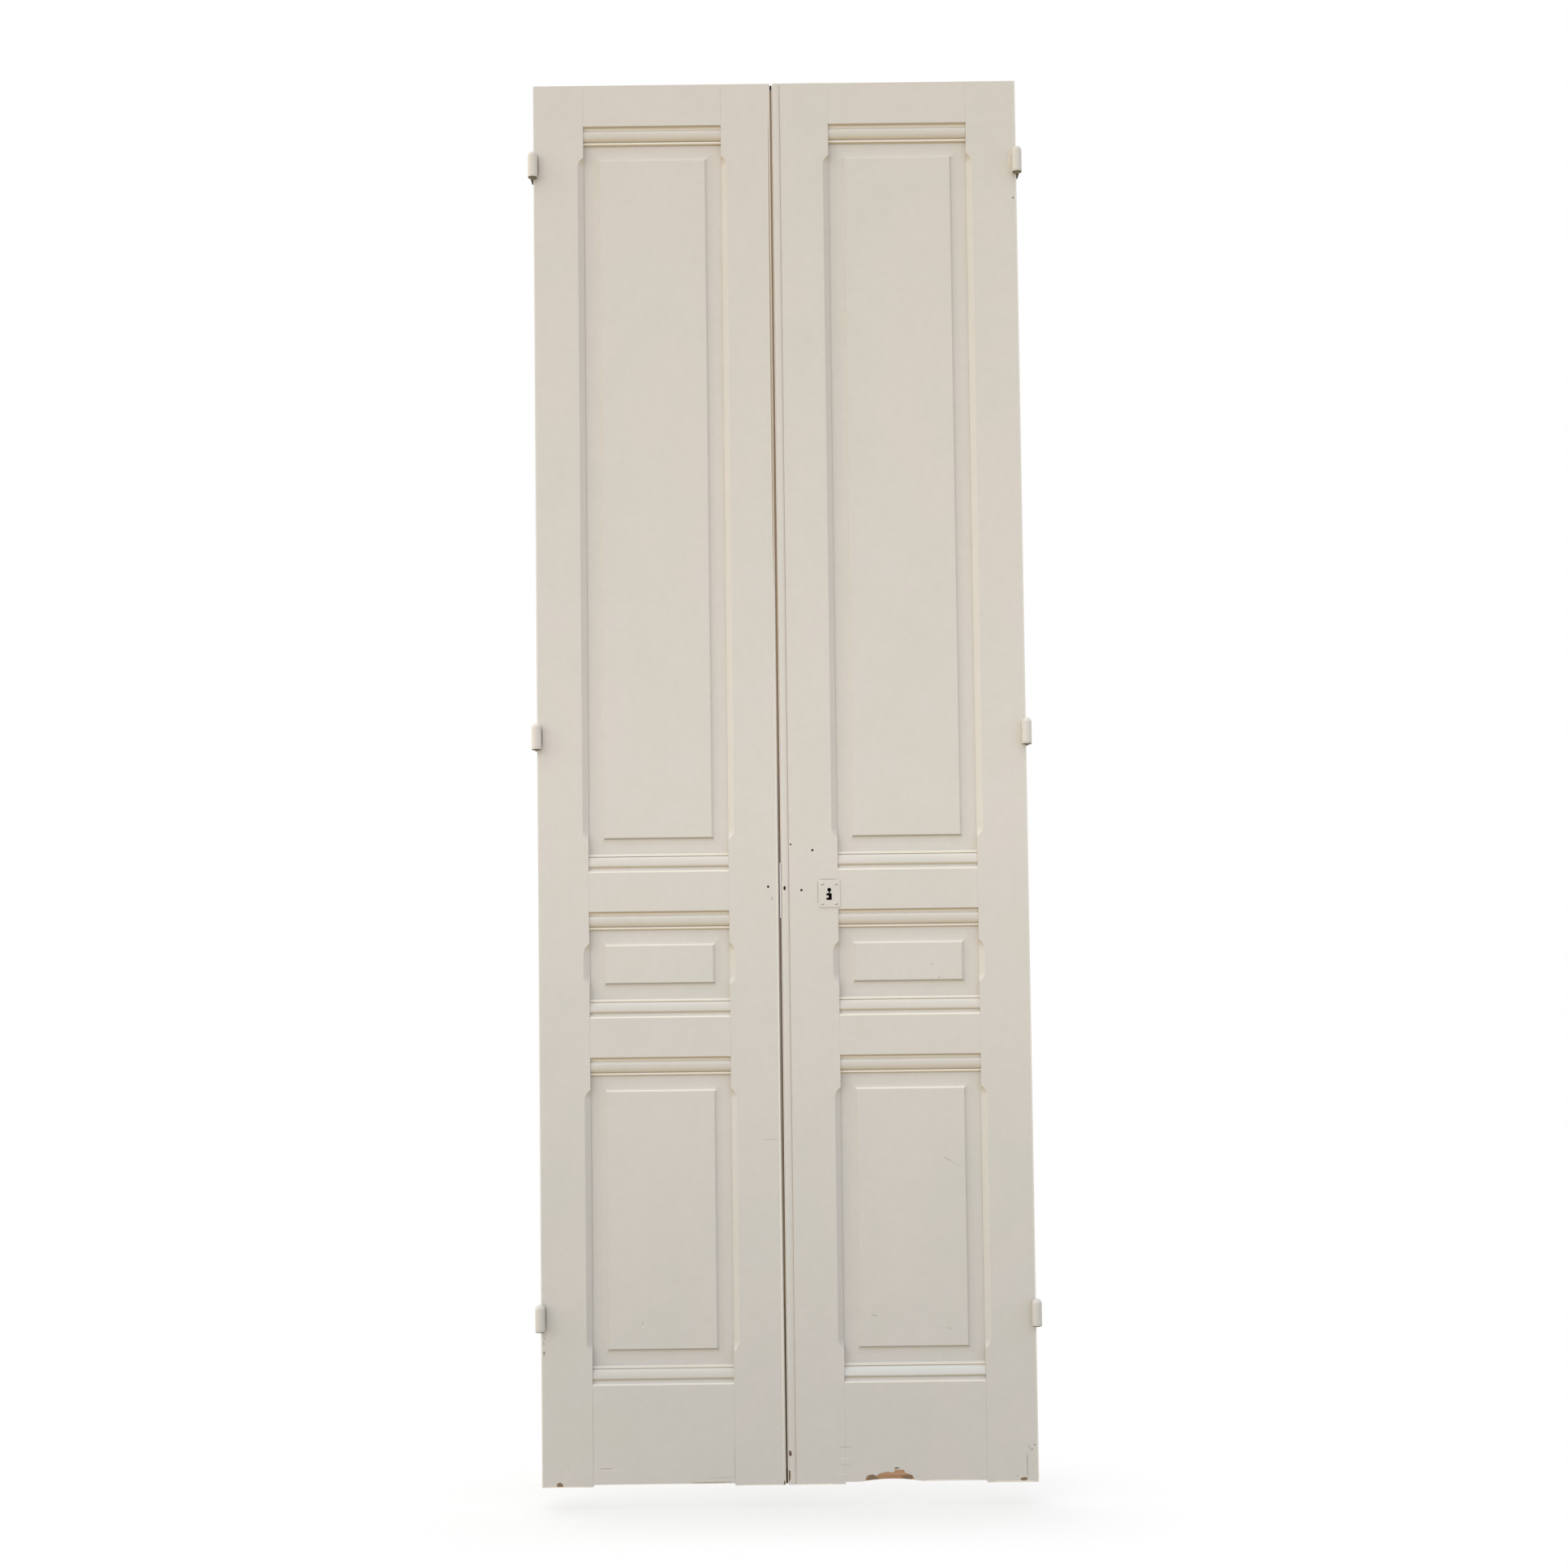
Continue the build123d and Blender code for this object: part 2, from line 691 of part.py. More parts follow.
def hinge_pin(side, base):
    """The frame's half of a hinge: the pin on its collar, and a cranked plate to screw to the frame."""
    axis_x, axis_y = x_in(side, -axis_outset), y_at(-axis_proud)
    foot = base - collar_gap - collar_height
    plate_near = -frame_plate_gap
    plate_far = plate_near - hinge_plate_thickness
    plate_x = x_in(side, (plate_near + plate_far) / 2)
    with BuildPart() as half:
        with BuildSketch(Plane(origin=(axis_x, axis_y, foot), x_dir=(1, 0, 0), z_dir=(0, -1, 0))):
            with BuildLine():
                Polyline(
                    (barrel_radius - collar_round, 0), (0, 0), (0, collar_height),
                    (barrel_radius, collar_height), (barrel_radius, collar_round),
                )
                EllipticalCenterArc(
                    (barrel_radius - collar_round, collar_round), collar_round, collar_round,
                    start_angle=270, arc_size=90,
                )
            make_face()
        revolve(axis=Axis((axis_x, axis_y, 0), (0, 0, 1)))
        with BuildSketch(Plane.XY.offset(foot)):
            with Locations((plate_x, axis_y)):
                Rectangle(
                    hinge_plate_thickness, hinge_plate_reach + axis_proud, align=(Align.CENTER, Align.MIN)
                )
        extrude(amount=collar_height)
        with BuildSketch(Plane.XY.offset(foot)):
            with Locations((axis_x, axis_y)):
                Circle(pin_radius)
        extrude(amount=collar_height + collar_gap + barrel_straight - pin_end_room)
        with BuildSketch(Plane.XY.offset(foot)):
            with Locations((plate_x, y_at(frame_plate_front))):
                Rectangle(
                    hinge_plate_thickness, hinge_plate_reach - frame_plate_front,
                    align=(Align.CENTER, Align.MIN),
                )
        extrude(amount=collar_height + collar_gap + barrel_straight)
        for share in frame_hole_rise_shares:
            at = out_plane(
                x_in(side, plate_near), hinge_plate_reach * frame_hole_depth_share,
                base + barrel_straight * share, (-side, 0, 0),
            )
            with Locations(at):
                CounterSinkHole(
                    frame_hole_radius, frame_sink_radius, depth=hinge_plate_thickness + overrun,
                    counter_sink_angle=sink_angle,
                )
    return half.part


def key_profile():
    """The keyhole's outline: the key's pin, a thin neck and a bit with one ward notch."""
    bit_height = key_bit_bottom - key_bit_top
    with Locations((key_x, key_height)):
        Circle(key_pin_radius)
        Rectangle(key_neck_width, key_bit_bottom, align=(Align.CENTER, Align.MAX))
    with Locations((key_x - key_stem_left, key_height - key_bit_top)):
        Rectangle(key_stem_left + key_bit_right, bit_height, align=(Align.MIN, Align.MAX))
    for level in (key_bit_top, key_bit_bottom - key_prong_height):
        with Locations((key_x - key_bit_left, key_height - level)):
            Rectangle(key_bit_left + key_bit_right, key_prong_height, align=(Align.MIN, Align.MAX))


escutcheon_middle = key_height - escutcheon_drop
nail_places = [
    (key_x + across * (escutcheon_width / 2 - nail_inset),
     escutcheon_middle + up * (escutcheon_height / 2 - nail_inset))
    for across in (-1, 1)
    for up in (-1, 1)
]


def nail_hole(x, z):
    """Cuts the hole of one of the keyhole plate's nails."""
    with Locations(out_plane(x, 0, z, (0, -1, 0))):
        Hole(nail_shank_radius + screw_fit, depth=nail_length - escutcheon_thickness)


def escutcheon():
    """The keyhole plate: sheet iron with the key's outline pierced through it."""
    with BuildPart() as plate:
        with BuildSketch(front_plane(0)):
            with Locations((key_x, escutcheon_middle)):
                RectangleRounded(escutcheon_width, escutcheon_height, escutcheon_corner)
        extrude(amount=escutcheon_thickness)
        chamfer(plate.faces().sort_by(Axis.Y)[0].edges(), escutcheon_edge_chamfer)
        with BuildSketch(front_plane(0)):
            key_profile()
        extrude(amount=escutcheon_thickness, mode=Mode.SUBTRACT)
        for x, z in nail_places:
            with Locations(out_plane(x, -escutcheon_thickness, z, (0, -1, 0))):
                Hole(nail_shank_radius + screw_fit, depth=escutcheon_thickness)
    return plate.part


def escutcheon_nails():
    """The four round-headed nails that hold the keyhole plate."""
    with BuildPart() as group:
        for x, z in nail_places:
            at = out_plane(x, -escutcheon_thickness, z, (0, -1, 0))
            with BuildSketch(Plane(origin=at.origin, x_dir=at.x_dir, z_dir=-at.y_dir)):
                with BuildLine():
                    Polyline(
                        (0, nail_head_height),
                        *[(nail_head_radius * u, nail_head_height * v) for u, v in nail_crown_shares],
                        (nail_shank_radius, 0), (nail_shank_radius, nail_shank_radius - nail_length),
                        (0, -nail_length), close=True,
                    )
                make_face()
            revolve(axis=Axis(at.origin, at.z_dir))
    return group.part


def lock_case():
    """The rim lock's case: a sheet tray, open to the door, with the selvedge bent over the leaf's edge."""
    middle = (lock_front + lock_case_length / 2, key_height)
    posts = [(lever_post_x, bolt_middle), (guide_post_x, bolt_middle)]
    sheet_front = lock_front - edge_bevel * (leaf_thickness - selvedge_front) / leaf_thickness
    with BuildPart() as case:
        with BuildSketch(front_plane(lock_reach)):
            with Locations(middle):
                Rectangle(lock_case_length, lock_case_height)
        extrude(amount=lock_case_depth)
        with BuildSketch(front_plane(lock_reach - lock_sheet)):
            with Locations(middle):
                Rectangle(lock_case_length - 2 * lock_sheet, lock_case_height - 2 * lock_sheet)
        extrude(amount=lock_case_depth, mode=Mode.SUBTRACT)
        with BuildSketch(Plane.XY.offset(lock_base)):
            with BuildLine():
                Polyline(
                    (sheet_front, y_at(selvedge_front)), (lock_front, y_at(leaf_thickness)),
                    (lock_front, y_at(leaf_thickness + lock_sheet)),
                    (lock_front - selvedge_thickness, y_at(leaf_thickness + lock_sheet)),
                    (lock_front - selvedge_thickness, y_at(leaf_thickness)),
                    (sheet_front - selvedge_thickness, y_at(selvedge_front)), close=True,
                )
            make_face()
        extrude(amount=lock_case_height)
        with BuildSketch(front_plane(lock_reach)):
            with Locations(*posts):
                Circle(post_radius)
        extrude(amount=lock_case_depth - cap_thickness)
        with BuildSketch(Plane.YZ.offset(lock_front)):
            with Locations((y_at(bolt_front_depth + bolt_thickness / 2), bolt_middle)):
                Rectangle(bolt_thickness + 2 * slide_clearance, bolt_height + 2 * slide_clearance)
        extrude(amount=lock_sheet + overrun, both=True, mode=Mode.SUBTRACT)
        for x, depth, z, out in lock_screw_places:
            sunk_hole(x, depth, z, out, lock_sheet)
    return case.part


def lock_cap():
    """The thin plate that closes the lock on the door's side, pierced for the key."""
    with BuildPart() as cap:
        with BuildSketch(front_plane(leaf_thickness + cap_thickness)):
            with Locations((lock_front + lock_case_length / 2, key_height)):
                Rectangle(
                    lock_case_length - 2 * lock_sheet - 2 * cap_fit,
                    lock_case_height - 2 * lock_sheet - 2 * cap_fit,
                )
            for x, _, z, _ in lock_screw_places:
                with Locations((x, z)):
                    Circle(screw_shank_radius + screw_fit, mode=Mode.SUBTRACT)
        extrude(amount=cap_thickness)
        with BuildSketch(front_plane(lock_reach)):
            key_room()
        extrude(amount=lock_case_depth, mode=Mode.SUBTRACT)
    return cap.part


def lock_bolt():
    """The lock's bolt, drawn back flush: a stout head and a thin tail with the key's talon."""
    tail_start = lock_front + bolt_head_length
    tail_end = lever_post_x - post_radius - bolt_tail_gap
    with BuildPart() as bolt:
        with BuildSketch(front_plane(bolt_front_depth + bolt_thickness)):
            with Locations((lock_front + bolt_head_length / 2, bolt_middle)):
                Rectangle(bolt_head_length, bolt_height)
        extrude(amount=bolt_thickness)
        with BuildSketch(front_plane(bolt_front_depth + bolt_tail_thickness)):
            with Locations(((tail_start + tail_end) / 2, bolt_middle)):
                Rectangle(tail_end - tail_start, bolt_height - 2 * bolt_tail_shoulder)
            with Locations((key_x, bolt_middle - bolt_height / 2)):
                Circle(bolt_talon_radius, mode=Mode.SUBTRACT)
        extrude(amount=bolt_tail_thickness)
        with BuildSketch(front_plane(bolt_front_depth + bolt_tail_thickness)):
            with Locations((guide_post_x + bolt_throw / 2, bolt_middle)):
                SlotOverall(
                    bolt_throw + 2 * post_radius + 2 * slide_clearance,
                    2 * post_radius + 2 * slide_clearance,
                )
        extrude(amount=bolt_tail_thickness, mode=Mode.SUBTRACT)
    return bolt.part


def lock_lever():
    """The lever that holds the bolt, turning on the case's post, with its leaf spring riveted on top."""
    back = bolt_front_depth + bolt_tail_thickness + lever_gap + lever_thickness
    arm_top = bolt_middle + lever_height / 2
    spring_x = lever_post_x - lever_eye_radius - spring_foot
    with BuildPart() as lever:
        with BuildSketch(front_plane(back)):
            with Locations((lever_post_x, bolt_middle)):
                Circle(lever_eye_radius)
                Rectangle(lever_length, lever_height, align=(Align.MAX, Align.CENTER))
            with BuildLine():
                Polyline(
                    (spring_x, arm_top - spring_thickness),
                    (spring_x + spring_foot, arm_top - spring_thickness),
                    (spring_x + spring_foot, arm_top),
                    (spring_x + spring_thickness, arm_top + spring_thickness),
                    (spring_x + spring_lean, arm_top + spring_rise),
                    (spring_x + spring_lean - spring_thickness, arm_top + spring_rise),
                    (spring_x, arm_top + spring_thickness), close=True,
                )
            make_face()
            with Locations((lever_post_x, bolt_middle)):
                Circle(post_radius + pin_clearance, mode=Mode.SUBTRACT)
        extrude(amount=lever_thickness)
    return lever.part


def lock_keep():
    """The keep: a bent iron box, open to the lock, on two flanges screwed to the left leaf's back."""
    mouth = left_edge - keep_setback
    box_height = bolt_height + 2 * keep_room + 2 * keep_wall
    with BuildPart() as keep:
        with BuildSketch(front_plane(leaf_thickness + keep_depth)):
            with Locations((mouth, bolt_middle)):
                Rectangle(keep_length, box_height, align=(Align.MAX, Align.CENTER))
        extrude(amount=keep_depth)
        with BuildSketch(front_plane(leaf_thickness + keep_wall)):
            with Locations((mouth, bolt_middle)):
                Rectangle(keep_length, box_height + 2 * keep_flange, align=(Align.MAX, Align.CENTER))
        extrude(amount=keep_wall)
        with BuildSketch(front_plane(leaf_thickness + keep_depth - keep_wall)):
            with Locations((mouth + overrun, bolt_middle)):
                Rectangle(
                    keep_length - keep_wall + overrun, box_height - 2 * keep_wall,
                    align=(Align.MAX, Align.CENTER),
                )
        extrude(amount=keep_depth + overrun, mode=Mode.SUBTRACT)
        for x, depth, z, out in keep_screw_places:
            sunk_hole(x, depth, z, out, keep_wall)
    return keep.part


def barrel_bolt_plate(base):
    """A surface bolt's plate with its two staples, which the rod slides through."""
    plate_back = leaf_thickness + barrel_bolt_plate_thickness
    staple_reach = rod_axis_depth + rod_radius + slide_clearance + staple_wall
    staple_width = 2 * (rod_radius + slide_clearance + staple_wall)
    with BuildPart() as plate:
        with BuildSketch(front_plane(plate_back)):
            with Locations((barrel_bolt_x, base)):
                Rectangle(
                    barrel_bolt_plate_width, barrel_bolt_plate_height, align=(Align.CENTER, Align.MIN)
                )
        extrude(amount=barrel_bolt_plate_thickness)
        for level in (staple_inset, barrel_bolt_plate_height - staple_inset):
            with BuildSketch(Plane.XY.offset(base + level - staple_height / 2)):
                with Locations((barrel_bolt_x, y_at(rod_axis_depth))):
                    Circle(staple_width / 2)
                with Locations((barrel_bolt_x, y_at(plate_back))):
                    Rectangle(
                        staple_width, rod_axis_depth - plate_back, align=(Align.CENTER, Align.MIN)
                    )
                with Locations((barrel_bolt_x, y_at(rod_axis_depth))):
                    Circle(rod_radius + slide_clearance, mode=Mode.SUBTRACT)
                with Locations((barrel_bolt_x, y_at(staple_reach))):
                    Rectangle(
                        staple_width, staple_reach - plate_back,
                        align=(Align.CENTER, Align.MAX), mode=Mode.INTERSECT,
                    )
            extrude(amount=staple_height)
        for x, depth, z, out in barrel_bolt_screw_places:
            if base < z < base + barrel_bolt_plate_height:
                sunk_hole(x, depth, z, out, barrel_bolt_plate_thickness)
    return plate.part


def barrel_bolt_rod(end, way):
    """A surface bolt's rod and knob. end is the level of its free end, way 1 if that is the top."""
    low = end - rod_length if way > 0 else end
    knob_level = end - way * (barrel_bolt_end_gap - rod_end_setback + barrel_bolt_plate_height / 2)
    with BuildPart() as rod:
        with BuildSketch(Plane.XY.offset(low)):
            with Locations((barrel_bolt_x, y_at(rod_axis_depth))):
                Circle(rod_radius)
        extrude(amount=rod_length)
        chamfer(rod.edges().filter_by(GeomType.CIRCLE), rod_end_chamfer)
        with BuildSketch(out_plane(barrel_bolt_x, rod_axis_depth, knob_level, (0, 1, 0))):
            Circle(knob_radius)
        extrude(amount=rod_radius + knob_length)
        fillet(rod.faces().sort_by(Axis.Y)[-1].edges(), knob_round)
    return rod.part


for name, side in LEAVES:
    save(hinge_stile(side), f"{name}_hinge_stile")
    for rail_name, *levels in RAILS:
        save(rail(side, *levels), f"{name}_{rail_name}")
    for panel_name, low, high in PANELS:
        save(panel(side, low, high), f"{name}_{panel_name}")
    for place, base in HINGES:
        save(hinge_barrel(side, base), f"{name}_{place}_hinge_barrel")
        save(hinge_pin(side, base), f"{name}_{place}_hinge_pin")
    save(screws(hinge_screw_places(side), hinge_screw_length), f"{name}_hinge_screws")

save(left_meeting_stile(), "left_meeting_stile")
save(right_meeting_stile(), "right_meeting_stile")
save(escutcheon(), "escutcheon")
save(escutcheon_nails(), "escutcheon_nails")
save(lock_case(), "lock_case")
save(lock_cap(), "lock_cap")
save(lock_bolt(), "lock_bolt")
save(lock_lever(), "lock_lever")
save(screws(lock_screw_places, lock_screw_length), "lock_screws")
save(lock_keep(), "lock_keep")
save(screws(keep_screw_places, keep_screw_length), "lock_keep_screws")
save(barrel_bolt_plate(barrel_bolt_plate_bases["top"]), "top_bolt_plate")
save(barrel_bolt_plate(barrel_bolt_plate_bases["bottom"]), "bottom_bolt_plate")
save(barrel_bolt_rod(leaf_height - rod_end_setback, 1), "top_bolt_rod")
save(barrel_bolt_rod(rod_end_setback, -1), "bottom_bolt_rod")
save(screws(barrel_bolt_screw_places, barrel_bolt_screw_length), "barrel_bolt_screws")
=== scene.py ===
"""The looks of a pair of old painted closet doors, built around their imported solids."""

import math

import bpy
from mathutils import Matrix, Vector


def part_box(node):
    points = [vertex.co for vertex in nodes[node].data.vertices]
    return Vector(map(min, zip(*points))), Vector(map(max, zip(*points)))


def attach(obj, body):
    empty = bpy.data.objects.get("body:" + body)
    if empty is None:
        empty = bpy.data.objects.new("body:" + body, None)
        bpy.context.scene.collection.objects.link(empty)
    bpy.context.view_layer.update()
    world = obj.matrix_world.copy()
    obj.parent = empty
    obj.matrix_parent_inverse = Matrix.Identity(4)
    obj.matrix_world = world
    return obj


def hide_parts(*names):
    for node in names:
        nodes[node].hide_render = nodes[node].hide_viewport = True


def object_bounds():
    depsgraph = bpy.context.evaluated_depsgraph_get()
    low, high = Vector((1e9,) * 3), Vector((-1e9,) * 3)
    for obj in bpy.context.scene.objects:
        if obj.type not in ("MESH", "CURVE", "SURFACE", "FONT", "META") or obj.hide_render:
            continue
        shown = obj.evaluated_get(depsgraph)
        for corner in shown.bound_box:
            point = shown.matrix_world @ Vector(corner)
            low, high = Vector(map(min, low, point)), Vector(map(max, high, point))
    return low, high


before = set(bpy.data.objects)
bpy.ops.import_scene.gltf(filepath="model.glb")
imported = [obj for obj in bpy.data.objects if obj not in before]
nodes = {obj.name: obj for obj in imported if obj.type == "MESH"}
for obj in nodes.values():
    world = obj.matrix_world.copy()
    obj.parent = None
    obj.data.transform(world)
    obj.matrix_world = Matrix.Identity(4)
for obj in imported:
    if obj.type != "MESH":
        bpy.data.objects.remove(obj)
cad_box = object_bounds()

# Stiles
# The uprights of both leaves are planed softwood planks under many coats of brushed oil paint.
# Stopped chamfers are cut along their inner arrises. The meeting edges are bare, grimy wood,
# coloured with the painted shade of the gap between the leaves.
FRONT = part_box("left_hinge_stile")[0].y
LEAF_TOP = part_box("left_hinge_stile")[1].z
MIDWAY = LEAF_TOP / 2
ALL_ALONG = LEAF_TOP * 0.9
SAWN_END = 0.0001
UPRIGHT = (420.0, 420.0, 9.0)
ARRIS = 0.0004
PLAIN_PAINT = (0.668, 0.622, 0.554, 1)
CREAM = (0.76, 0.695, 0.575, 1)
# Painted shade, near black, inside holes and at the top of the gap between the leaves.
PAINTED_DEEP_SHADE = (0.035, 0.026, 0.018, 1)
# Bare wood in the gap between the leaves with its painted shade: lighter up high, darker below.
UPPER_GAP_WOOD_AND_SHADE = (0.64, 0.455, 0.265, 1)
GAP_GRIME_AND_SHADE = (0.44, 0.315, 0.175, 1)
CHIP_DARK = (0.2, 0.135, 0.075, 1)
END_GRAIN = (0.33, 0.285, 0.23, 1)
BEAD_QUIRK_LIGHT = (0.7, 0.645, 0.565, 1)
WRINKLE_DARK = (0.46, 0.44, 0.395, 1)
WRINKLE_GREY = (0.47, 0.445, 0.4, 1)
WRINKLE_LIGHT = (0.66, 0.615, 0.56, 1)


def add(tree, kind, values=None, **settings):
    """Adds a node. A value that is a socket is linked, any other is set on the input of that name."""
    made = tree.nodes.new(kind)
    for name, value in settings.items():
        setattr(made, name, value)
    for key, value in (values or {}).items():
        if isinstance(value, bpy.types.NodeSocket):
            tree.links.new(value, made.inputs[key])
        else:
            made.inputs[key].default_value = value
    return made


def blend(tree, share, first, second, way="MIX"):
    """Mixes two colours and gives the mixed one."""
    mix = add(tree, "ShaderNodeMix", {0: share, 6: first, 7: second}, data_type="RGBA", blend_type=way)
    return mix.outputs[2]


def reckon(tree, operation, first, second=0.0):
    """One sum of two values."""
    return add(tree, "ShaderNodeMath", {0: first, 1: second}, operation=operation).outputs[0]


def reckon_vector(tree, operation, first, second):
    """One sum of two vectors."""
    return add(tree, "ShaderNodeVectorMath", {0: first, 1: second}, operation=operation).outputs[0]


def noise(tree, place, scale, detail):
    """A cloudy value around a half."""
    values = {"Vector": place, "Scale": scale, "Detail": detail}
    return add(tree, "ShaderNodeTexNoise", values).outputs[0]


def spread(tree, value, low, high, to_low=0.0, to_high=1.0):
    """Draws the stretch between low and high out to another one."""
    values = {0: value, 1: low, 2: high, 3: to_low, 4: to_high}
    return add(tree, "ShaderNodeMapRange", values).outputs[0]


def effect(name, inputs, outputs):
    """An empty shader group with named sockets, and its inner sockets to read from and to fill."""
    group = bpy.data.node_groups.new(name, "ShaderNodeTree")
    for label, kind, start in inputs:
        socket = group.interface.new_socket(label, in_out="INPUT", socket_type="NodeSocket" + kind)
        socket.default_value = start
    for label, kind in outputs:
        group.interface.new_socket(label, in_out="OUTPUT", socket_type="NodeSocket" + kind)
    return group, group.nodes.new("NodeGroupInput").outputs, group.nodes.new("NodeGroupOutput").inputs


def place_effect(tree, group, values):
    """Places a shader group with its own values and gives its outputs."""
    return add(tree, "ShaderNodeGroup", values, node_tree=group).outputs


def paint_tone():
    """The paint's colour: lightest at half height, with faint blotches. Faces looking down get painted
    shade, darker and yellower, and faces looking up get painted light.
    """
    group, given, out = effect(
        "paint_tone",
        [("Position", "Vector", (0, 0, 0)), ("Facing", "Vector", (0, -1, 0)),
         ("Low Tone", "Color", (0.57, 0.54, 0.491, 1)),
         ("Middle Tone", "Color", PLAIN_PAINT), ("High Tone", "Color", (0.62, 0.565, 0.49, 1))],
        [("Color", "Color")],
    )
    height = add(group, "ShaderNodeSeparateXYZ", {0: given["Position"]}).outputs[2]
    middle = LEAF_TOP * 0.48
    low_part = spread(group, height, LEAF_TOP * 0.06, middle)
    tone = blend(group, low_part, given["Low Tone"], given["Middle Tone"])
    tone = blend(group, spread(group, height, middle, LEAF_TOP), tone, given["High Tone"])
    upward = add(group, "ShaderNodeSeparateXYZ", {0: given["Facing"]}).outputs[2]
    # Painted shade on faces that look down, painted light on faces that look up.
    under = blend(group, spread(group, upward, -0.1, -0.7), (1, 1, 1, 1), (0.93, 0.872, 0.74, 1))
    over = blend(group, spread(group, upward, 0.1, 0.7), (1, 1, 1, 1), (1.06, 1.05, 1.03, 1))
    tone = blend(group, 1.0, blend(group, 1.0, tone, under, "MULTIPLY"), over, "MULTIPLY")
    for scale, detail, cool, warm in (
        (3.1, 2.0, (0.985, 0.994, 0.99, 1), (1.01, 1.002, 1.0, 1)),
        (11.0, 3.0, (0.988, 0.993, 0.985, 1), (1.01, 1.003, 1.01, 1)),
        (70.0, 2.0, (0.99, 0.99, 0.988, 1), (1.008, 1.008, 1.008, 1)),
    ):
        cloud = spread(group, noise(group, given["Position"], scale, detail), 0.35, 0.65)
        tone = blend(group, 1.0, tone, blend(group, cloud, cool, warm), "MULTIPLY")
    group.links.new(tone, out["Color"])
    return group


def brush_marks():
    """The relief that a brush leaves, drawn out along the grain."""
    group, given, out = effect(
        "brush_marks",
        [("Position", "Vector", (0, 0, 0)), ("Along", "Vector", UPRIGHT)],
        [("Height", "Float")],
    )
    drawn = reckon_vector(group, "MULTIPLY", given["Position"], given["Along"])
    hairs = noise(group, drawn, 1.0, 3.0)
    laps = noise(group, drawn, 0.16, 1.0)
    group.links.new(reckon(group, "ADD", hairs, laps), out["Height"])
    return group


def wear_and_painted_light_spot():
    """A ragged oval mask, for worn spots and marks and for painted shade and highlights."""
    group, given, out = effect(
        "wear_and_painted_light_spot",
        [("Position", "Vector", (0, 0, 0)), ("Centre", "Vector", (0, 0, 0)),
         ("Reach", "Vector", (0.01, 0.01, 0.01)), ("Turn", "Float", 0.0), ("Ragged", "Float", 0.5)],
        [("Mask", "Float")],
    )
    away = reckon_vector(group, "SUBTRACT", given["Position"], given["Centre"])
    turned = add(
        group, "ShaderNodeVectorRotate", {"Vector": away, "Axis": (0, 1, 0), "Angle": given["Turn"]}
    ).outputs[0]
    share = reckon_vector(group, "DIVIDE", turned, given["Reach"])
    far = add(group, "ShaderNodeVectorMath", {0: share}, operation="LENGTH").outputs["Value"]
    grit = reckon(group, "SUBTRACT", noise(group, given["Position"], 260.0, 3.0), 0.5)
    edge = reckon(group, "ADD", far, reckon(group, "MULTIPLY", grit, given["Ragged"]))
    group.links.new(spread(group, edge, 1.0, 0.86), out["Mask"])
    return group


def bare_wood():
    """The colour of old softwood with its grain, where the paint is off."""
    group, given, out = effect(
        "bare_wood",
        [("Position", "Vector", (0, 0, 0)), ("Along", "Vector", UPRIGHT)],
        [("Color", "Color")],
    )
    drawn = reckon_vector(group, "MULTIPLY", given["Position"], given["Along"])
    rings = spread(group, noise(group, drawn, 0.7, 4.0), 0.3, 0.7)
    group.links.new(blend(group, rings, (0.33, 0.185, 0.095, 1), (0.55, 0.33, 0.19, 1)), out["Color"])
    return group


PAINT_TONE, BRUSH_MARKS, WEAR_AND_PAINTED_LIGHT_SPOT, BARE_WOOD = paint_tone(), brush_marks(), wear_and_painted_light_spot(), bare_wood()


def new_material(name):
    """A material with its tree and shader, and the place and facing that patterns are read from."""
    material = bpy.data.materials.new(name)
    material.use_nodes = True
    tree = material.node_tree
    read = add(tree, "ShaderNodeTexCoord").outputs
    return material, tree, tree.nodes["Principled BSDF"], read["Object"], read["Normal"]


def wear_and_painted_light_in(tree, place, color, height, bare, spots):
    """Lays spots of wear, marks and painted shade and highlights over a colour and its relief. A spot is
    its centre, reach, turn, raggedness and tone, and a tone of None lets what is under the paint show."""
    for centre, reach, turn, ragged, tone in spots:
        mask = place_effect(tree, WEAR_AND_PAINTED_LIGHT_SPOT, {
            "Position": place, "Centre": centre, "Reach": reach, "Turn": turn, "Ragged": ragged,
        })["Mask"]
        color = blend(tree, mask, color, bare if tone is None else tone)
        height = reckon(tree, "SUBTRACT", height, mask)
    return color, height


def painted_wood(name, along, spots=()):
    """Brushed oil paint on wood, bare at the sawn ends of the leaf and in its worn spots, with marks
    and painted shade and highlights laid on by its spots.
    """
    material, tree, shader, place, facing = new_material(name)
    color = place_effect(tree, PAINT_TONE, {"Position": place, "Facing": facing})["Color"]
    height = place_effect(tree, BRUSH_MARKS, {"Position": place, "Along": along})["Height"]
    wood = place_effect(tree, BARE_WOOD, {"Position": place, "Along": along})["Color"]
    up = add(tree, "ShaderNodeSeparateXYZ", {0: place}).outputs[2]
    off_middle = reckon(tree, "ABSOLUTE", reckon(tree, "SUBTRACT", up, MIDWAY))
    ends = reckon(tree, "GREATER_THAN", off_middle, MIDWAY - SAWN_END)
    color = blend(tree, ends, color, blend(tree, 0.6, wood, END_GRAIN))
    color, height = wear_and_painted_light_in(tree, place, color, height, wood, spots)
    rough = spread(tree, noise(tree, place, 30.0, 2.0), 0.0, 1.0, 0.42, 0.58)
    relief = add(tree, "ShaderNodeBump", {"Strength": 0.3, "Distance": 0.0003, "Height": height})
    tree.links.new(color, shader.inputs["Base Color"])
    tree.links.new(rough, shader.inputs["Roughness"])
    tree.links.new(relief.outputs[0], shader.inputs["Normal"])
    shader.inputs["Specular IOR Level"].default_value = 0.35
    return material


